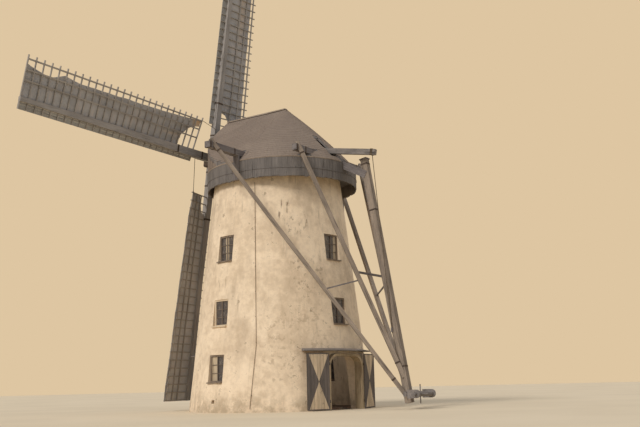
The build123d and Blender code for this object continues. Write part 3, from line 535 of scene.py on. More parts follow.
def dress(node, finish):
    """Gives a CAD node its finish; its mesh and place stay as they are."""
    mesh = frame["nodes"][node].data
    mesh.materials.clear()
    mesh.materials.append(finish)


OLD_WOOD = ((150, 140, 132), (100, 94, 89))
STOCK_WOOD = ((168, 160, 152), (134, 127, 120))
DARK_WOOD = ((137, 128, 123), (91, 84, 82))
PALE_WOOD = ((165, 148, 130), (114, 102, 90))
BLACK_WOOD = ((129, 121, 114), (97, 91, 86))
IRON, ROPE, CANVAS = iron(), rope(), canvas()
# The lower sail stands in shade, so its cloth is a lighter copy of the sailcloth: painted light that lifts
# its shade.
PAINTED_LIGHT_CANVAS = canvas("lower_sailcloth_painted_light", (178, 176, 174), (200, 196, 193))
SHINGLES = shingle_finish()
BLACK_BOARDS = timber("black_boards", UP, *BLACK_WOOD)
LEVEL_WOOD = timber("level_timber", ALONG, *OLD_WOOD)
# The middle window on the left still has lime on its frame
LIMED_FRAME = ((LEFT_SIDE, 14.3, SILLS[1] - 0.45, SILLS[1] + 1.65), (222, 200, 168))
WINDOW_WOOD = timber(
    "window_wood", UP, (150, 132, 112), (106, 92, 79), fine=2.0, depth=0.003, painted=LIMED_FRAME
)
BAR_WOOD = timber("window_bar_wood", UP, (134, 118, 102), (96, 84, 74), fine=2.0, depth=0.002)
BLIND_CLOTH = timber("blind_cloth", UP, (196, 176, 146), (158, 138, 112), fine=0.8, depth=0.004)
SIDE_BOARDS = timber("front_side_wood", UP, (146, 130, 115), (112, 98, 87))
FILLET_WOOD = timber("fillet_wood", BACK, (168, 150, 130), (128, 112, 97))
POLE_CAP_WOOD = timber("pole_cap_wood", POLE_WAY, *DARK_WOOD)
PLANK_WOOD = rotor_timber("lead_plank_wood", (166, 163, 156), (136, 131, 124))

WASH = whitewash()
for node in frame["nodes"]:
    if "_wall_" in node or node.startswith("wall_over"):
        dress(node, WASH)
for side, hinge, reach in LEAVES:
    dress("door_leaf_" + side, leaf_paint("leaf_paint_" + side, hinge, reach))
for node in ("wire_clips", "door_pintles", "poll_end"):
    dress(node, IRON)
for node in ("door_hoods", "curb_ring", "cap_ring", "cap_timbers", "winch_frame", "winch_drum"):
    dress(node, LEVEL_WOOD)
for node, direction in (("long_beam", ALONG), ("short_beam", ALONG), ("beam_posts", UP), ("rope_cleat", UP)):
    dress(node, timber(node + "_wood", direction, *DARK_WOOD))
NODE_FINISHES = {
    "ground_floor": bricks(),
    "upper_floors": timber("floor_boards", ALONG, *OLD_WOOD, seams=(BACK, 0.24)),
    "window_frames": WINDOW_WOOD,
    "window_panes": glass(),
    "door_frames": timber("door_frame_paint", UP, (204, 182, 146), (142, 122, 96), fine=1.5, depth=0.003),
    "back_door_leaves": timber("back_door_boards", UP, *DARK_WOOD, seams=((0.99, -0.139, 0), 0.166)),
    "wall_wire": iron("wire_iron", (150, 126, 101), (116, 97, 79)),
    "cap_skirt": BLACK_BOARDS,
    "cap_roof": timber("grey_boards", UP, *OLD_WOOD, seams=(ALONG, 0.19)),
    "cap_front": timber("front_boards", UP, (122, 109, 95), (82, 74, 65), seams=(ALONG, 0.21)),
    "tail_beam": timber("tail_beam_wood", (0, 1.78, -1.0), *DARK_WOOD),
    "tail_pole": timber("tail_pole_wood", POLE_WAY, *PALE_WOOD),
    "long_braces": timber("long_brace_wood", BRACE_WAY, *PALE_WOOD, mirrored=True),
    "short_braces": timber("short_brace_wood", SHORT_BRACE_WAY, *PALE_WOOD, mirrored=True),
    "tail_ties": timber("tie_wood", ALONG, *DARK_WOOD),
    "brake_lever": timber("lever_wood", LEVER_END - LEVER_PIVOT, *OLD_WOOD),
    "windshaft": timber("shaft_wood", (0, 1, -0.128), *OLD_WOOD),
    "outer_stock": timber("upright_stock_wood", (0, 0.12, 1), *STOCK_WOOD),
    "inner_stock": timber("level_stock_wood", ALONG, *STOCK_WOOD),
    "sail_frames": rotor_timber("lattice_wood", (175, 166, 155), (138, 130, 121)),
    "sail_stays": ROPE,
}
for node, finish in NODE_FINISHES.items():
    dress(node, finish)


# Pieces
def place_in_scene(name, data):
    """A new object of the scene."""
    holder = bpy.data.objects.new(name, data)
    bpy.context.scene.collection.objects.link(holder)
    return holder


def finish_piece(name, form, body, finish):
    """Makes a piece of a form, whose faces it turns outwards, on the body that it moves with."""
    bmesh.ops.recalc_face_normals(form, faces=form.faces)
    mesh = bpy.data.meshes.new(name)
    form.to_mesh(mesh)
    form.free()
    mesh.materials.append(finish)
    piece = place_in_scene(name, mesh)
    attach(piece, body)
    return piece


def block(form, middle, size, turn=None):
    """A box of a size about its middle, turned by a matrix; gives back its vertices."""
    turned = turn.to_4x4() if turn else Matrix.Identity(4)
    place = Matrix.Translation(middle) @ turned @ Matrix.Diagonal((*size, 1))
    return bmesh.ops.create_cube(form, size=1, matrix=place)["verts"]


def turn_to(direction, up=UP):
    """Rotation that takes X to a direction and keeps Z as near to up as it can."""
    x = Vector(direction).normalized()
    y = Vector(up).cross(x).normalized()
    return Matrix((x, y, x.cross(y))).transposed()


def soften(form, width):
    """Rounds every edge."""
    bmesh.ops.bevel(
        form, geom=form.edges[:], offset=width, segments=2, profile=0.5, affect="EDGES", material=-1
    )


def bolt(form, place, way, radius=0.02, depth=0.024):
    """A six-sided head that looks along a way."""
    turn = Vector(UP).rotation_difference(Vector(way)).to_matrix().to_4x4()
    bmesh.ops.create_cone(
        form, cap_ends=True, segments=6, radius1=radius, radius2=radius * 0.8, depth=depth,
        matrix=Matrix.Translation(place) @ turn,
    )


def band(form, middle, way, wide, deep, length=0.07, thick=0.008):
    """An iron band round a timber that runs along a way."""
    block(form, middle, (length, wide + 2 * thick, deep + 2 * thick), turn_to(way))


def polar(angle, out, z):
    """A place by its bearing in degrees, its way out from the mill's axis and its height."""
    return Vector((out * cos(radians(angle)), out * sin(radians(angle)), z))


def wall_radius(z):
    """Outer radius of the tower at a height."""
    return FOOT_RADIUS + (HEAD_RADIUS - FOOT_RADIUS) * z / WALL_HEIGHT


def hump(x, middle, half):
    """1 at the middle, and down in a straight run to 0 at half a width away."""
    return max(0.0, 1 - abs(x - middle) / half)


def between(knots, x):
    """Value at x on a line of straight runs through (x, value) knots."""
    for (x0, y0), (x1, y1) in zip(knots, knots[1:]):
        if x <= x1:
            return y0 + (y1 - y0) * max(0.0, x - x0) / (x1 - x0)
    return knots[-1][1]


# Sails
def sail_matrix(turn, along):
    """From a sail's own axes, with Y out from the hub and Z to the wind, to the mill's."""
    a = radians(turn)
    wind = Vector((0, -cos(SHAFT_TILT), sin(SHAFT_TILT)))
    across = Vector((cos(a), sin(a) * sin(SHAFT_TILT), sin(a) * cos(SHAFT_TILT)))
    turned = Matrix((across, wind.cross(across), wind)).transposed().to_4x4()
    return Matrix.Translation(HUB + wind * along) @ turned


def twist(r):
    """Pitch of a sail at a place out along its stock, in radians."""
    return radians(ROOT_TWIST + (TIP_TWIST - ROOT_TWIST) * (r - SAIL_START) / (SAIL_LENGTH - SAIL_START))


def on_blade(across, r, lift):
    """Point of a sail: across towards its trailing edge, out along the stock, lifted to the wind."""
    g = twist(r)
    return Vector((-across * cos(g) - lift * sin(g), r, -across * sin(g) + lift * cos(g)))


def stock_half(r):
    """Half the width of the tapered stock."""
    share = (r - POLL_HALF) / (SAIL_LENGTH - POLL_HALF)
    return STOCK_ROOT_HALF + (STOCK_TIP_HALF - STOCK_ROOT_HALF) * share


STOCK_GAP, CLOTH_TIP, CLOTH_THICK = 0.008, 0.04, 0.006
STEPS_ACROSS, STEPS_OUT, BOARD_STEPS = 40, 260, 60
BOARD_COUNT, BOARD_THICK, BOARD_GAP, BOARD_LIFT, BOARD_WAVE = 3, 0.018, 0.003, 0.003, 0.004
OUTER, INNER = STOCK_SPACING / 2, -STOCK_SPACING / 2
# Each sail: its turn, its place along the shaft, the length and width of the bite at its root, how far its
# corner is drawn in, and how far its free edge hangs from the hem at places along the stock
SAILS = {
    "top": (REST_TURN, OUTER, 0.75, 0.45, 0.0, ((1.95, 0.1), (3.0, 0.17), (12.4, 0.15))),
    "bottom": (REST_TURN + 180, OUTER, 0.9, 0.35, 0.3, ((1.95, 0.02), (3.2, -0.1), (12.4, -0.12))),
    "right": (
        REST_TURN - 90, INNER, 1.15, 0.8, 0.0,
        ((1.95, 0.05), (5.0, 0.2), (9.5, 0.3), (10.4, 0.2), (11.2, 0.5), (12.4, 0.2)),
    ),
    "left": (REST_TURN + 90, INNER, 1.0, 0.6, 0.0, ((1.95, 0.12), (7.0, 0.26), (12.4, 0.15))),
}
# How the set cloth leaves a flat plane: off the bars, down between them, in swells and creases, and where its
# tip corner and its heel curl up in folds. Its free edge wanders, and hangs in scallops, and a corner that is
# drawn in starts at a share of the width.
OFF_BARS, LOWEST, SINK, SWELL, CREASE = 0.012, -0.004, 0.006, 0.02, 0.014
CORNER_CURL, CORNER_REACH, CORNER_FOLDS = 0.05, 1.4, 3
HEEL_CURL, HEEL_SHARE, HEEL_FOLDS = 0.06, 1 / 9, 4
WANDER, SCALLOP, SCALLOP_STEP = 0.02, 0.015, 1.2
DRAWN_FROM = 0.82


def wave_at(x, y, z=0.0):
    """A soft wave of about -1 to 1."""
    return noise.noise(Vector((x, y, z)))


def pale_marks_and_fold_highlight(side, s, r):
    """Pale marks of a cloth, by share of its width and way out: a painted highlight on a folded corner, a
    streak, thin cloth.
    """
    fold_highlight = hump(r, 2.15, 0.45) * max(0.0, (s - 0.55) / 0.45)
    streak = hump(r, 3.6, 1.1) * hump(s, 0.32, 0.07)
    thin = max(0.0, min(1.0, (r - 6.2) / 1.5)) * hump(s, 0.6, 0.3)
    return {"right": min(1.0, 1.6 * fold_highlight + 0.5 * streak), "top": 0.35 * thin}.get(side, 0.0)


def cloth_of(side, seed):
    """A set cloth: it lies on the bars, sinks a little between them, and folds at its corners."""
    turn, along, bite, bite_width, drawn, hem_gaps = SAILS[side]
    form = bmesh.new()
    uv = form.loops.layers.uv.new("flat")
    # The pale value holds the cloth's pale marks and a painted highlight on its folded corner.
    pale = form.verts.layers.float.new("pale")
    bmesh.ops.create_grid(form, x_segments=STEPS_ACROSS, y_segments=STEPS_OUT, size=1)
    flat_places = {}
    for v in form.verts:
        s, w = (v.co.x + 1) / 2, (v.co.y + 1) / 2
        start = SAIL_START + bite * sqrt(max(0.0, 1 - (s / bite_width) ** 2))
        start -= drawn * max(0.0, (s - DRAWN_FROM) / (1 - DRAWN_FROM))
        r = start + (SAIL_LENGTH - CLOTH_TIP - start) * w
        inner = (stock_half(r) + STOCK_GAP) / cos(twist(r))
        ragged = WANDER * wave_at(r * 1.7, seed) - SCALLOP * abs(sin(pi * (r - SAIL_START) / SCALLOP_STEP))
        free = TRAIL_WIDTH - between(hem_gaps, r) + ragged
        across = inner + (free - inner) * s
        sink = SINK * (abs(sin(pi * (r - SAIL_START) / BAR_STEP)) - 1)
        swell = SWELL * wave_at(r * 0.9, across * 1.6, seed)
        crease = CREASE * wave_at(r * 5.0 + across * 3.0, across * 1.2, seed + 5)
        corner = CORNER_CURL * hump(r, SAIL_LENGTH, CORNER_REACH) * s * abs(sin(pi * CORNER_FOLDS * s))
        heel = HEEL_CURL * hump(w, 0, HEEL_SHARE) * abs(sin(pi * HEEL_FOLDS * s))
        lift = BAR_DEEP / 2 + OFF_BARS + max(LOWEST, sink + swell + crease) + corner + heel
        flat_places[v.index] = (across, r)
        v[pale] = pale_marks_and_fold_highlight(side, s, r)
        v.co = on_blade(across, r, lift)
    for face in form.faces:
        for loop in face.loops:
            loop[uv].uv = flat_places[loop.vert.index]
    flat_area = sum(f.calc_area() for f in form.faces)
    bmesh.ops.solidify(form, geom=form.faces[:], thickness=CLOTH_THICK)
    form.transform(sail_matrix(turn, along))
    # The lower sail takes the lighter cloth, painted light against the shade it stands in.
    finish = PAINTED_LIGHT_CANVAS if side == "bottom" else CANVAS
    piece = finish_piece("cloth_" + side, form, "sails", finish)
    piece.data.polygons.foreach_set("use_smooth", [True] * len(piece.data.polygons))
    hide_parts("sail_cloths")


def boards_of(side):
    """The leading boards: long planks laid edge to edge from the stock's side out, on the blade's twist."""
    turn, along = SAILS[side][:2]
    form = bmesh.new()
    for plank in range(BOARD_COUNT):
        for v in bmesh.ops.create_grid(form, x_segments=1, y_segments=BOARD_STEPS, size=1)["verts"]:
            r = SAIL_START + (SAIL_LENGTH - SAIL_START) * (v.co.y + 1) / 2
            lift = BAR_DEEP / 2 + BOARD_THICK + BOARD_LIFT + BOARD_WAVE * wave_at(r * 0.6, plank, turn)
            first = (stock_half(r) + STOCK_GAP + lift * sin(twist(r))) / cos(twist(r))
            wide = (LEAD_WIDTH - first) / BOARD_COUNT
            edge = plank + (v.co.x + 1) / 2
            v.co = on_blade(-first - wide * edge + BOARD_GAP * v.co.x, r, lift)
    bmesh.ops.solidify(form, geom=form.faces[:], thickness=BOARD_THICK)
    form.transform(sail_matrix(turn, along))
    piece = finish_piece("boards_" + side, form, "sails", PLANK_WOOD)
    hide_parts("lead_boards")


def stock_bands():
    """Bands and wedges where the stocks go through the poll end, and bands along the stocks."""
    band_places, band_long, proud = (0.62, 1.35, 3.1), 0.075, 0.016
    wedge_size, wedge_side, wedge_out, wedge_lift = (0.07, 0.16, 0.022), 0.11, 0.05, 0.012
    form = bmesh.new()
    for turn, along, *_ in SAILS.values():
        place = sail_matrix(turn, along)
        spin = place.to_3x3()
        for r in band_places:
            size = (2 * stock_half(r) + proud, band_long, STOCK_DEEP + proud)
            block(form, place @ Vector((0, r, 0)), size, spin)
        for hand in HANDS:
            for lift in HANDS:
                height = lift * (STOCK_DEEP / 2 + wedge_lift)
                wedge = place @ Vector((hand * wedge_side, POLL_HALF + wedge_out, height))
                block(form, wedge, wedge_size, spin)
    finish_piece("stock_bands", form, "sails", IRON)


# Cap
def arc_centre(a, b, c):
    """Centre of the circle through three points of a plane."""
    (ax, ay), (bx, by), (cx, cy) = a, b, c
    d = 2 * (ax * (by - cy) + bx * (cy - ay) + cx * (ay - by))
    sa, sb, sc = ax * ax + ay * ay, bx * bx + by * by, cx * cx + cy * cy
    x = (sa * (by - cy) + sb * (cy - ay) + sc * (ay - by)) / d
    y = (sa * (cx - bx) + sb * (ax - cx) + sc * (bx - ax)) / d
    return Vector((x, y))


ROOF_CENTRE = arc_centre(*ROOF_PROFILE)
ROOF_RADIUS = (Vector(ROOF_PROFILE[0]) - ROOF_CENTRE).length
RIDGE_ANGLE = atan2(*reversed(Vector(ROOF_PROFILE[0]) - ROOF_CENTRE))
EAVES_ANGLE = atan2(*reversed(Vector(ROOF_PROFILE[2]) - ROOF_CENTRE))
SLOPE_LENGTH = ROOF_RADIUS * (RIDGE_ANGLE - EAVES_ANGLE)


def roof_point(up):
    """Out from the ridge and height, up the slope from the eaves, with the slope's own normal."""
    a = EAVES_ANGLE + up / ROOF_RADIUS
    normal = Vector((cos(a), sin(a)))
    return ROOF_CENTRE + normal * ROOF_RADIUS, normal


def roof_height(out):
    """Height of the roof's surface at a distance from the ridge."""
    return ROOF_CENTRE.y + sqrt(ROOF_RADIUS**2 - (out - ROOF_CENTRE.x) ** 2)


SHINGLE_STEP, SHINGLE_LENGTH, SHINGLE_THICK = 0.17, 0.36, 0.007
SHINGLE_WIDTHS, SHINGLE_GAP, SHINGLE_CLEAR = (0.12, 0.21), 0.006, 0.06
SHINGLE_LIFT, SHINGLE_LEAST, STAGGER = 2.1 * SHINGLE_THICK, 0.05, 0.03
EAVES_DROP, EAVES_OUT, FRONT_OUT, TAIL_LAP, RIDGE_FREE = 0.03, 0.03, 0.01, 0.03, 0.12
# What comes out through the roof: boxes that no shingle lies in
ROOF_WAYS = (
    ((-6, LONG_BEAM_Y - 0.15, 11.5), (6, LONG_BEAM_Y + 0.15, 11.9)),
    ((-3, SHORT_BEAM_Y - 0.12, 11.45), (3, SHORT_BEAM_Y + 0.12, 11.83)),
    ((0.24, 2.62, 11.3), (0.66, 3.68, 14)),
    ((-0.2, 3.3, 10.8), (0.2, 5, 11.6)),
)


def in_a_way(place):
    """Whether a place is in or near what comes out through the roof."""
    near = SHINGLE_CLEAR
    return any(all(low[k] - near < place[k] < high[k] + near for k in range(3)) for low, high in ROOF_WAYS)


def shingle(form, tone, foot, up_slope, outward, width):
    """One split shingle, its butt lifted off the course below."""
    lean = SHINGLE_THICK / SHINGLE_STEP
    along = (up_slope - outward * lean).normalized()
    middle = foot + along * SHINGLE_LENGTH / 2 + outward * SHINGLE_LIFT
    if in_a_way(foot + up_slope * SHINGLE_STEP / 2) or in_a_way(middle):
        return
    shade = random.random()
    size = (SHINGLE_LENGTH, width - SHINGLE_GAP, SHINGLE_THICK)
    for v in block(form, middle, size, turn_to(along, outward)):
        v[tone] = shade


def cap_shingles():
    """Shingles in courses, up the two straight slopes and round the tail."""
    form = bmesh.new()
    tone = form.verts.layers.float.new("tone")
    for course in range(int((SLOPE_LENGTH - RIDGE_FREE) / SHINGLE_STEP)):
        point, normal = roof_point(course * SHINGLE_STEP - EAVES_DROP)
        climb = Vector((-normal.y, normal.x))
        front = min(CAP_FRONT, sqrt(max(0.0, (CAP_RADIUS + EAVES_OUT) ** 2 - point.x**2)))
        for hand in HANDS:
            y = -front - FRONT_OUT + random.uniform(0, STAGGER)
            while y < TAIL_SHIFT - SHINGLE_LEAST:
                width = min(random.uniform(*SHINGLE_WIDTHS), TAIL_SHIFT + TAIL_LAP - y)
                foot = Vector((hand * point.x, y + width / 2, point.y))
                up = Vector((hand * climb.x, 0, climb.y))
                shingle(form, tone, foot, up, Vector((hand * normal.x, 0, normal.y)), width)
                y += width
        a = random.uniform(0, 0.02)
        while a < pi:
            width = min(random.uniform(*SHINGLE_WIDTHS), max(SHINGLE_LEAST, point.x * 0.9))
            swing = width / max(point.x, 0.1)
            way = Vector((cos(a + swing / 2), sin(a + swing / 2), 0))
            foot = Vector((0, TAIL_SHIFT, 0)) + way * point.x + Vector((0, 0, point.y))
            up = way * climb.x + Vector((0, 0, climb.y))
            shingle(form, tone, foot, up, way * normal.x + Vector((0, 0, normal.y)), width)
            a += swing
    finish_piece("cap_shingles", form, "cap", SHINGLES)


def cap_edge(step, grow):
    """Points at a step along the cap's outline, each with its outward way."""
    places = []
    count = round(pi * CAP_RADIUS / step)
    for middle_y, first in ((TAIL_SHIFT, 0.0), (0.0, pi)):
        for k in range(count):
            a = first + pi * (k + 0.5) / count
            way = Vector((cos(a), sin(a), 0))
            places.append((Vector((0, middle_y, 0)) + way * (CAP_RADIUS + grow), way))
    count = round(TAIL_SHIFT / step)
    for hand in HANDS:
        for k in range(count):
            y = TAIL_SHIFT * (k + 0.5) / count
            places.append((Vector((hand * (CAP_RADIUS + grow), y, 0)), Vector((hand, 0, 0))))
    return places


def edge_block(form, place, way, low, high, long, thick):
    """An upright or level piece on the cap's outline, from one height to another."""
    middle = place + Vector((0, 0, (low + high) / 2))
    block(form, middle, (long, thick, high - low), turn_to(way.cross(Vector(UP))))


def at_a_post(place):
    """Whether a post of the long beam stands at a place of the cap's outline."""
    return abs(place.y - LONG_BEAM_Y) < 0.26 and abs(place.x) > 3.2


def at_tail_beam(place):
    """Whether the tail beam comes out over a place of the cap's outline."""
    return abs(place.x) < 0.3 and place.y > 3


CAP_BOARD_THICK, CAP_BOARD_STEP = 0.016, 0.165


def skirt_boards():
    """Upright boards outside the skirt, above and below its ledge, with worn lower ends."""
    worn_ends, tail_wear, uneven, gap = (-0.045, 0.02), 0.02, 0.0015, 0.005
    form = bmesh.new()
    for place, way in cap_edge(CAP_BOARD_STEP, CAP_BOARD_THICK / 2):
        worn = random.uniform(*worn_ends) + tail_wear * (place.y > 2) * random.random()
        tiers = [(SKIRT_BOTTOM + worn, LEDGE - 0.002), (LEDGE + OVER_LEDGE, SKIRT_TOP - 0.02)]
        shown = 0 if at_a_post(place) else 1 if at_tail_beam(place) else 2
        for low, high in tiers[:shown]:
            thick = CAP_BOARD_THICK + random.uniform(-uneven, uneven)
            edge_block(form, place, way, low, high, CAP_BOARD_STEP - gap, thick)
    finish_piece("skirt_boards", form, "cap", BLACK_BOARDS)


def front_side_boards():
    """Upright boards from the skirt to the roof, on the round sides of the cap's front."""
    over_skirt, under_roof, shortest, gap = 0.035, 0.03, 0.1, 0.008
    form = bmesh.new()
    for place, way in cap_edge(CAP_BOARD_STEP, CAP_BOARD_THICK / 2):
        low = SKIRT_TOP + over_skirt
        high = roof_height(min(CAP_RADIUS, abs(place.x) + 0.1)) - under_roof
        if -CAP_FRONT < place.y < -0.1 and high > low + shortest:
            edge_block(form, place, way, low, high, CAP_BOARD_STEP - gap, CAP_BOARD_THICK)
    finish_piece("front_side_boards", form, "cap", SIDE_BOARDS)


def eaves_fillet():
    """The pale fillet under the eaves."""
    step, tall, thick, middle = 0.2, 0.05, 0.03, SKIRT_TOP - 0.012
    form = bmesh.new()
    for place, way in cap_edge(step, 0.012):
        if not at_tail_beam(place) and place.y > -CAP_FRONT + 0.02:
            edge_block(form, place, way, middle - tall / 2, middle + tall / 2, step + 0.01, thick)
    finish_piece("eaves_fillet", form, "cap", FILLET_WOOD)


def gable_battens():
    """Upright battens over the seams of the gable, from the skirt or the shaft's neck to near the roof."""
    spacing, wide, thick, under_roof, shortest = 0.21, 0.045, 0.018, 0.16, 0.1
    form = bmesh.new()
    for k in range(-7, 8):
        x = spacing * k
        slope = SLOPE_LENGTH
        while slope > 0 and roof_point(slope)[0].x < abs(x) + 0.14:
            slope -= 0.05
        top = roof_point(slope)[0].y - under_roof
        low = NECK_TOP if abs(x) < NECK_HALF else SKIRT_TOP
        if top > low + shortest:
            block(form, Vector((x, GABLE_Y - thick / 2, (low + top) / 2)), (wide, thick, top - low))
    finish_piece("gable_battens", form, "cap", LEVEL_WOOD)


def ridge_boards():
    """A pair of boards along the ridge."""
    wide, thick, from_middle, height, lift = 0.17, 0.016, 0.075, ROOF_PROFILE[0][1] - 0.03, 0.022
    form = bmesh.new()
    normal = roof_point(SLOPE_LENGTH)[1]
    for hand in HANDS:
        out = Vector((hand * normal.x, 0, normal.y))
        middle = Vector((hand * from_middle, (TAIL_SHIFT - CAP_FRONT) / 2, height)) + out * lift
        block(form, middle, (TAIL_SHIFT + CAP_FRONT + 0.03, wide, thick), turn_to(BACK, out))
    finish_piece("ridge_boards", form, "cap", FILLET_WOOD)


# Windows and door
WINDOWS = [(side, sill) for side in (LEFT_SIDE, RIGHT_SIDE) for sill in SILLS]
WINDOWS += [(side, sill) for side in (DOOR_SIDE, BACK_SIDE) for sill in SILLS[1:]]
# Blinds: side, sill, and where the blind hangs across the window, from the middle to the viewer's right
BLINDS = (
    (LEFT_SIDE, SILLS[2], -0.12, 0.08), (LEFT_SIDE, SILLS[0], -0.39, -0.04), (DOOR_SIDE, SILLS[2], 0.22, 0.38)
)
MULLION_WIDE, MULLION_DEEP, MULLION_OUT = 0.05, 0.038, 0.02
RAIL_TALL, RAIL_DEEP, RAIL_OUT = 0.03, 0.026, 0.014
BLIND_THICK, BLIND_OUT, BLIND_FREE = 0.004, 0.0025, 0.01


def at_window(side, sill, across, up, out):
    """A place on a window: across to the viewer's right, up from the sill, out from the face of the pane."""
    face = wall_radius(sill + WINDOW_TALL / 2) - REVEAL - PANE_SET
    right = polar(side + 90, 1, 0)
    return polar(side, face + out, sill + up) + right * across, turn_to(right)


def window_bars():
    """A mullion and two pairs of rails on each window, and the blinds."""
    form, blinds = bmesh.new(), bmesh.new()
    inside_wide, inside_tall = WINDOW_WIDE - 2 * MEMBER, WINDOW_TALL - 2 * MEMBER
    rail_place = (inside_wide + MULLION_WIDE) / 4
    for side, sill in WINDOWS:
        middle, turn = at_window(side, sill, 0, WINDOW_TALL / 2, MULLION_OUT)
        block(form, middle, (MULLION_WIDE, MULLION_DEEP, inside_tall), turn)
        for hand in HANDS:
            for third in (1, 2):
                up = MEMBER + inside_tall * third / 3
                middle, turn = at_window(side, sill, hand * rail_place, up, RAIL_OUT)
                block(form, middle, (inside_wide / 2 - MULLION_WIDE / 2, RAIL_DEEP, RAIL_TALL), turn)
    for side, sill, left, right in BLINDS:
        middle, turn = at_window(side, sill, (left + right) / 2, WINDOW_TALL / 2, BLIND_OUT)
        block(blinds, middle, (right - left, BLIND_THICK, inside_tall - BLIND_FREE), turn)
    finish_piece("window_bars", form, "tower", BAR_WOOD)
    finish_piece("window_blinds", blinds, "tower", BLIND_CLOTH)


def leaf_straps():
    """Strap hinges on the leaves' outer faces, which lie to the wall when they stand open."""
    strap_size, strap_middle, strap_heights = (0.92, 0.008, 0.055), 0.53, (0.4, 2.0)
    bolt_places, bolt_radius, bolt_depth = (0.16, 0.4, 0.64, 0.88), 0.014, 0.012
    for side, hinge, reach in LEAVES:
        hinge, reach = Vector(hinge), Vector(reach)
        normal = reach.cross(Vector(UP))
        if normal.y < 0:
            normal.negate()
        back = min((v.co - hinge).dot(normal) for v in frame["nodes"]["door_leaf_" + side].data.vertices)
        form = bmesh.new()
        for height in strap_heights:
            foot = hinge + Vector((0, 0, height))
            middle = foot + reach * strap_middle + normal * (back - strap_size[1] / 2)
            block(form, middle, strap_size, turn_to(reach))
            for out in bolt_places:
                bolt(form, foot + reach * out + normal * (back - 0.01), -normal, bolt_radius, bolt_depth)
        finish_piece(f"straps_{side}", form, f"door_{side}", IRON)


# Ironwork of the beams and the tail, pole cap and ropes
def pole_y(z):
    """Where the middle of the tail pole is at a height."""
    (_, head_y, head_z), (_, foot_y, foot_z) = POLE_HEAD, POLE_FOOT
    return head_y + (foot_y - head_y) * (head_z - z) / (head_z - foot_z)


# Braces: top on the right, height of the foot, width, and where their bands are from top to foot
BRACES = (
    ((5.28, LONG_BEAM_Y, 11.99), 0.47, 0.17, (0.045, 0.93)),
    ((2.73, SHORT_BEAM_Y, 11.92), 1.35, 0.19, (0.05, 0.94)),
)
BRACE_FOOT_OUT, BEAM_BOLT_OUT, POLE_BANDS = 0.09, 0.013, (0.02, 0.22, 0.86)
# Beams: line along the cap, middle height, size, and where their bands are on each side
BEAMS = (
    (LONG_BEAM_Y, LONG_BEAM_Z, LONG_BEAM_SIZE, (3.75, 5.05, 5.42)),
    (SHORT_BEAM_Y, SHORT_BEAM_Z, SHORT_BEAM_SIZE, (2.2, 2.86)),
)


def bands_along(form, top, foot, wide, shares):
    """Bands on a square timber, at shares of its length from the top."""
    for share in shares:
        band(form, top.lerp(foot, share), foot - top, wide, wide)


def beam_bands():
    """Iron bands on the braces, the pole and the beams' ends, each with its bolt on the beams."""
    form = bmesh.new()
    for (x, y, z), foot_z, wide, shares in BRACES:
        for hand in HANDS:
            foot = Vector((hand * BRACE_FOOT_OUT, pole_y(foot_z), foot_z))
            bands_along(form, Vector((hand * x, y, z)), foot, wide, shares)
    bands_along(form, Vector(POLE_HEAD), Vector(POLE_FOOT), POLE_WIDE, POLE_BANDS)
    for hand in HANDS:
        for y, z, (wide, deep), places in BEAMS:
            for x in places:
                band(form, Vector((hand * x, y, z)), ALONG, wide, deep)
                bolt(form, Vector((hand * x, y + wide / 2 + BEAM_BOLT_OUT, z)), BACK)
    finish_piece("beam_bands", form, "cap", IRON)


def pole_cap():
    """A square cap on the head of the tail pole, a little wider than the pole."""
    thick, wide, round_edge = 0.06, POLE_WIDE + 0.07, 0.008
    form = bmesh.new()
    way = Vector(POLE_WAY).normalized()
    block(form, Vector(POLE_HEAD) - way * thick / 2, (thick, wide, wide), turn_to(way, BACK))
    soften(form, round_edge)
    finish_piece("pole_cap", form, "cap", POLE_CAP_WOOD)


ROPE_DIAMETER = 0.032
ROPE_ROUTE = (
    (0.45, 5.703, 11.35), (0.41, 5.80, 9.9), (0.36, 5.92, 8.2), (0.30, 6.03, 6.6), (0.24, 6.14, 5.0),
    (0.19, 6.244, 3.5),
)


def rope_mesh(curve):
    """The mesh that a curve gives as it stands, bare or with its thickness."""
    holder = place_in_scene("rope_shape", curve)
    bpy.context.view_layer.update()
    mesh = bpy.data.meshes.new_from_object(holder.evaluated_get(bpy.context.evaluated_depsgraph_get()))
    bpy.data.objects.remove(holder)
    return mesh


def brake_rope():
    """The brake rope, from the lever at its head to the cap at its foot, a mesh on no moving body."""
    curve = bpy.data.curves.new("brake_rope_line", "CURVE")
    curve.dimensions = "3D"
    curve.resolution_u = 8
    spline = curve.splines.new("NURBS")
    spline.points.add(len(ROPE_ROUTE) - 1)
    for point, place in zip(spline.points, ROPE_ROUTE):
        point.co = (*place, 1)
    spline.order_u = 3
    spline.use_endpoint_u = True
    line = rope_mesh(curve)
    curve.bevel_depth = ROPE_DIAMETER / 2
    curve.bevel_resolution = 3
    curve.use_fill_caps = True
    mesh = rope_mesh(curve)
    mesh.name = "brake_rope_line"
    mesh.materials.append(ROPE)
    piece = place_in_scene("brake_rope_line", mesh)
    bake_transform(piece)
    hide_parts("brake_rope")


def lever_lashing():
    """Four turns of rope round the end of the brake lever."""
    turns, step, first, wide, thick, round_edge = 4, 0.033, 0.13, 0.03, 0.016, 0.008
    form = bmesh.new()
    way = (LEVER_END - LEVER_PIVOT).normalized()
    for k in range(turns):
        band(form, LEVER_END - way * (first + step * k), way, LEVER_WIDE, LEVER_DEEP, wide, thick)
    soften(form, round_edge)
    finish_piece("lever_lashing", form, "brake_lever", ROPE)


for number, side in enumerate(SAILS):
    cloth_of(side, 3.7 * number)
    boards_of(side)
cap_shingles()
skirt_boards()
front_side_boards()
eaves_fillet()
gable_battens()
ridge_boards()
window_bars()
leaf_straps()
beam_bands()
pole_cap()
stock_bands()
brake_rope()
lever_lashing()


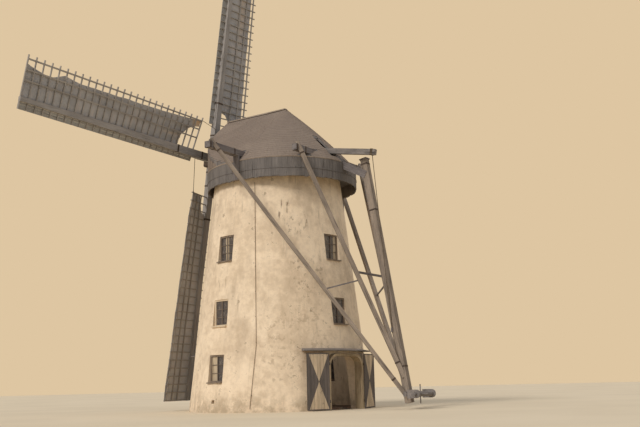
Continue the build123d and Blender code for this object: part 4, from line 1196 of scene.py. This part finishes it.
# Floor, light and camera
def stage_floor():
    """A wide pale floor under the mill."""
    sides, radius = 96, 160
    form = bmesh.new()
    bmesh.ops.create_circle(form, cap_ends=True, segments=sides, radius=radius)
    mesh = bpy.data.meshes.new("floor")
    form.to_mesh(mesh)
    form.free()
    if mesh.polygons[0].normal.z < 0:
        mesh.flip_normals()
    floor = place_in_scene("floor", mesh)
    finish, surface, place = new_finish("pale_floor", 0.95)
    tone = fade(speckle(place, 0.15, 3), 0.3, 0.7)
    coat(surface, two_tones(tone, (221, 202, 171), (228, 209, 178)))
    mesh.materials.append(finish)


def sky():
    """A warm backdrop for the camera and for reflections, and a plain cool light on everything."""
    world = bpy.data.worlds.new("soft_sky")
    bpy.context.scene.world = world
    world.use_nodes = True
    tree = world.node_tree
    tree.nodes.clear()
    path = add(tree, "ShaderNodeLightPath").outputs
    direct = maths("MAXIMUM", path["Is Camera Ray"], path["Is Glossy Ray"])
    direct = maths("MAXIMUM", direct, path["Is Transmission Ray"])
    lights = []
    for colour, strength in (((0.94, 1.0, 1.1, 1), 0.5), (seen(222, 198, 162), 1.0)):
        light = add(tree, "ShaderNodeBackground")
        light.inputs["Color"].default_value = colour
        light.inputs["Strength"].default_value = strength
        lights.append(light.outputs[0])
    mixed = put("ShaderNodeMixShader", {0: direct, 1: lights[0], 2: lights[1]})[0]
    tree.links.new(mixed, add(tree, "ShaderNodeOutputWorld").inputs[0])


def lamp(name, towards, strength, spread):
    """A far lamp that stands towards a direction, its spread in degrees."""
    light = bpy.data.lights.new(name, "SUN")
    light.energy = strength
    light.angle = radians(spread)
    light.color = (1, 0.98, 0.96)
    place_in_scene(name, light).rotation_euler = Vector(towards).to_track_quat("Z", "Y").to_euler()


def room_light(name, place, watts, size):
    """Light inside the tower, so that the rooms behind its openings aren't black."""
    light = bpy.data.lights.new(name, "POINT")
    light.energy, light.shadow_soft_size = watts, size
    place_in_scene(name, light).location = place


def set_camera():
    """The camera at the photograph's angle, turned a little about its own line of sight."""
    right = CAMERA_AIM.cross(Vector(UP))
    forward = CAMERA_AIM * cos(CAMERA_PITCH) + Vector((0, 0, sin(CAMERA_PITCH)))
    up = right.cross(forward)
    rolled_right = right * cos(CAMERA_ROLL) + up * sin(CAMERA_ROLL)
    rolled_up = up * cos(CAMERA_ROLL) - right * sin(CAMERA_ROLL)
    camera = bpy.data.cameras.new("camera")
    camera.sensor_width = 36
    camera.lens = CAMERA_LENS
    camera.clip_end = 500
    holder = place_in_scene("camera", camera)
    turned = Matrix((rolled_right, rolled_up, -forward)).transposed().to_4x4()
    holder.matrix_world = Matrix.Translation(CAMERA_PLACE) @ turned
    bpy.context.scene.camera = holder


stage_floor()
sky()
lamp("sun", (0.816, -0.071, 0.574), 1.8, 18)
lamp("fill", (-0.5, 0.6, 0.5), 0.12, 60)
room_light("ground_room_light", (0, 0, 2.3), 36, 0.6)
set_camera()
bpy.context.scene.view_settings.view_transform = "Standard"
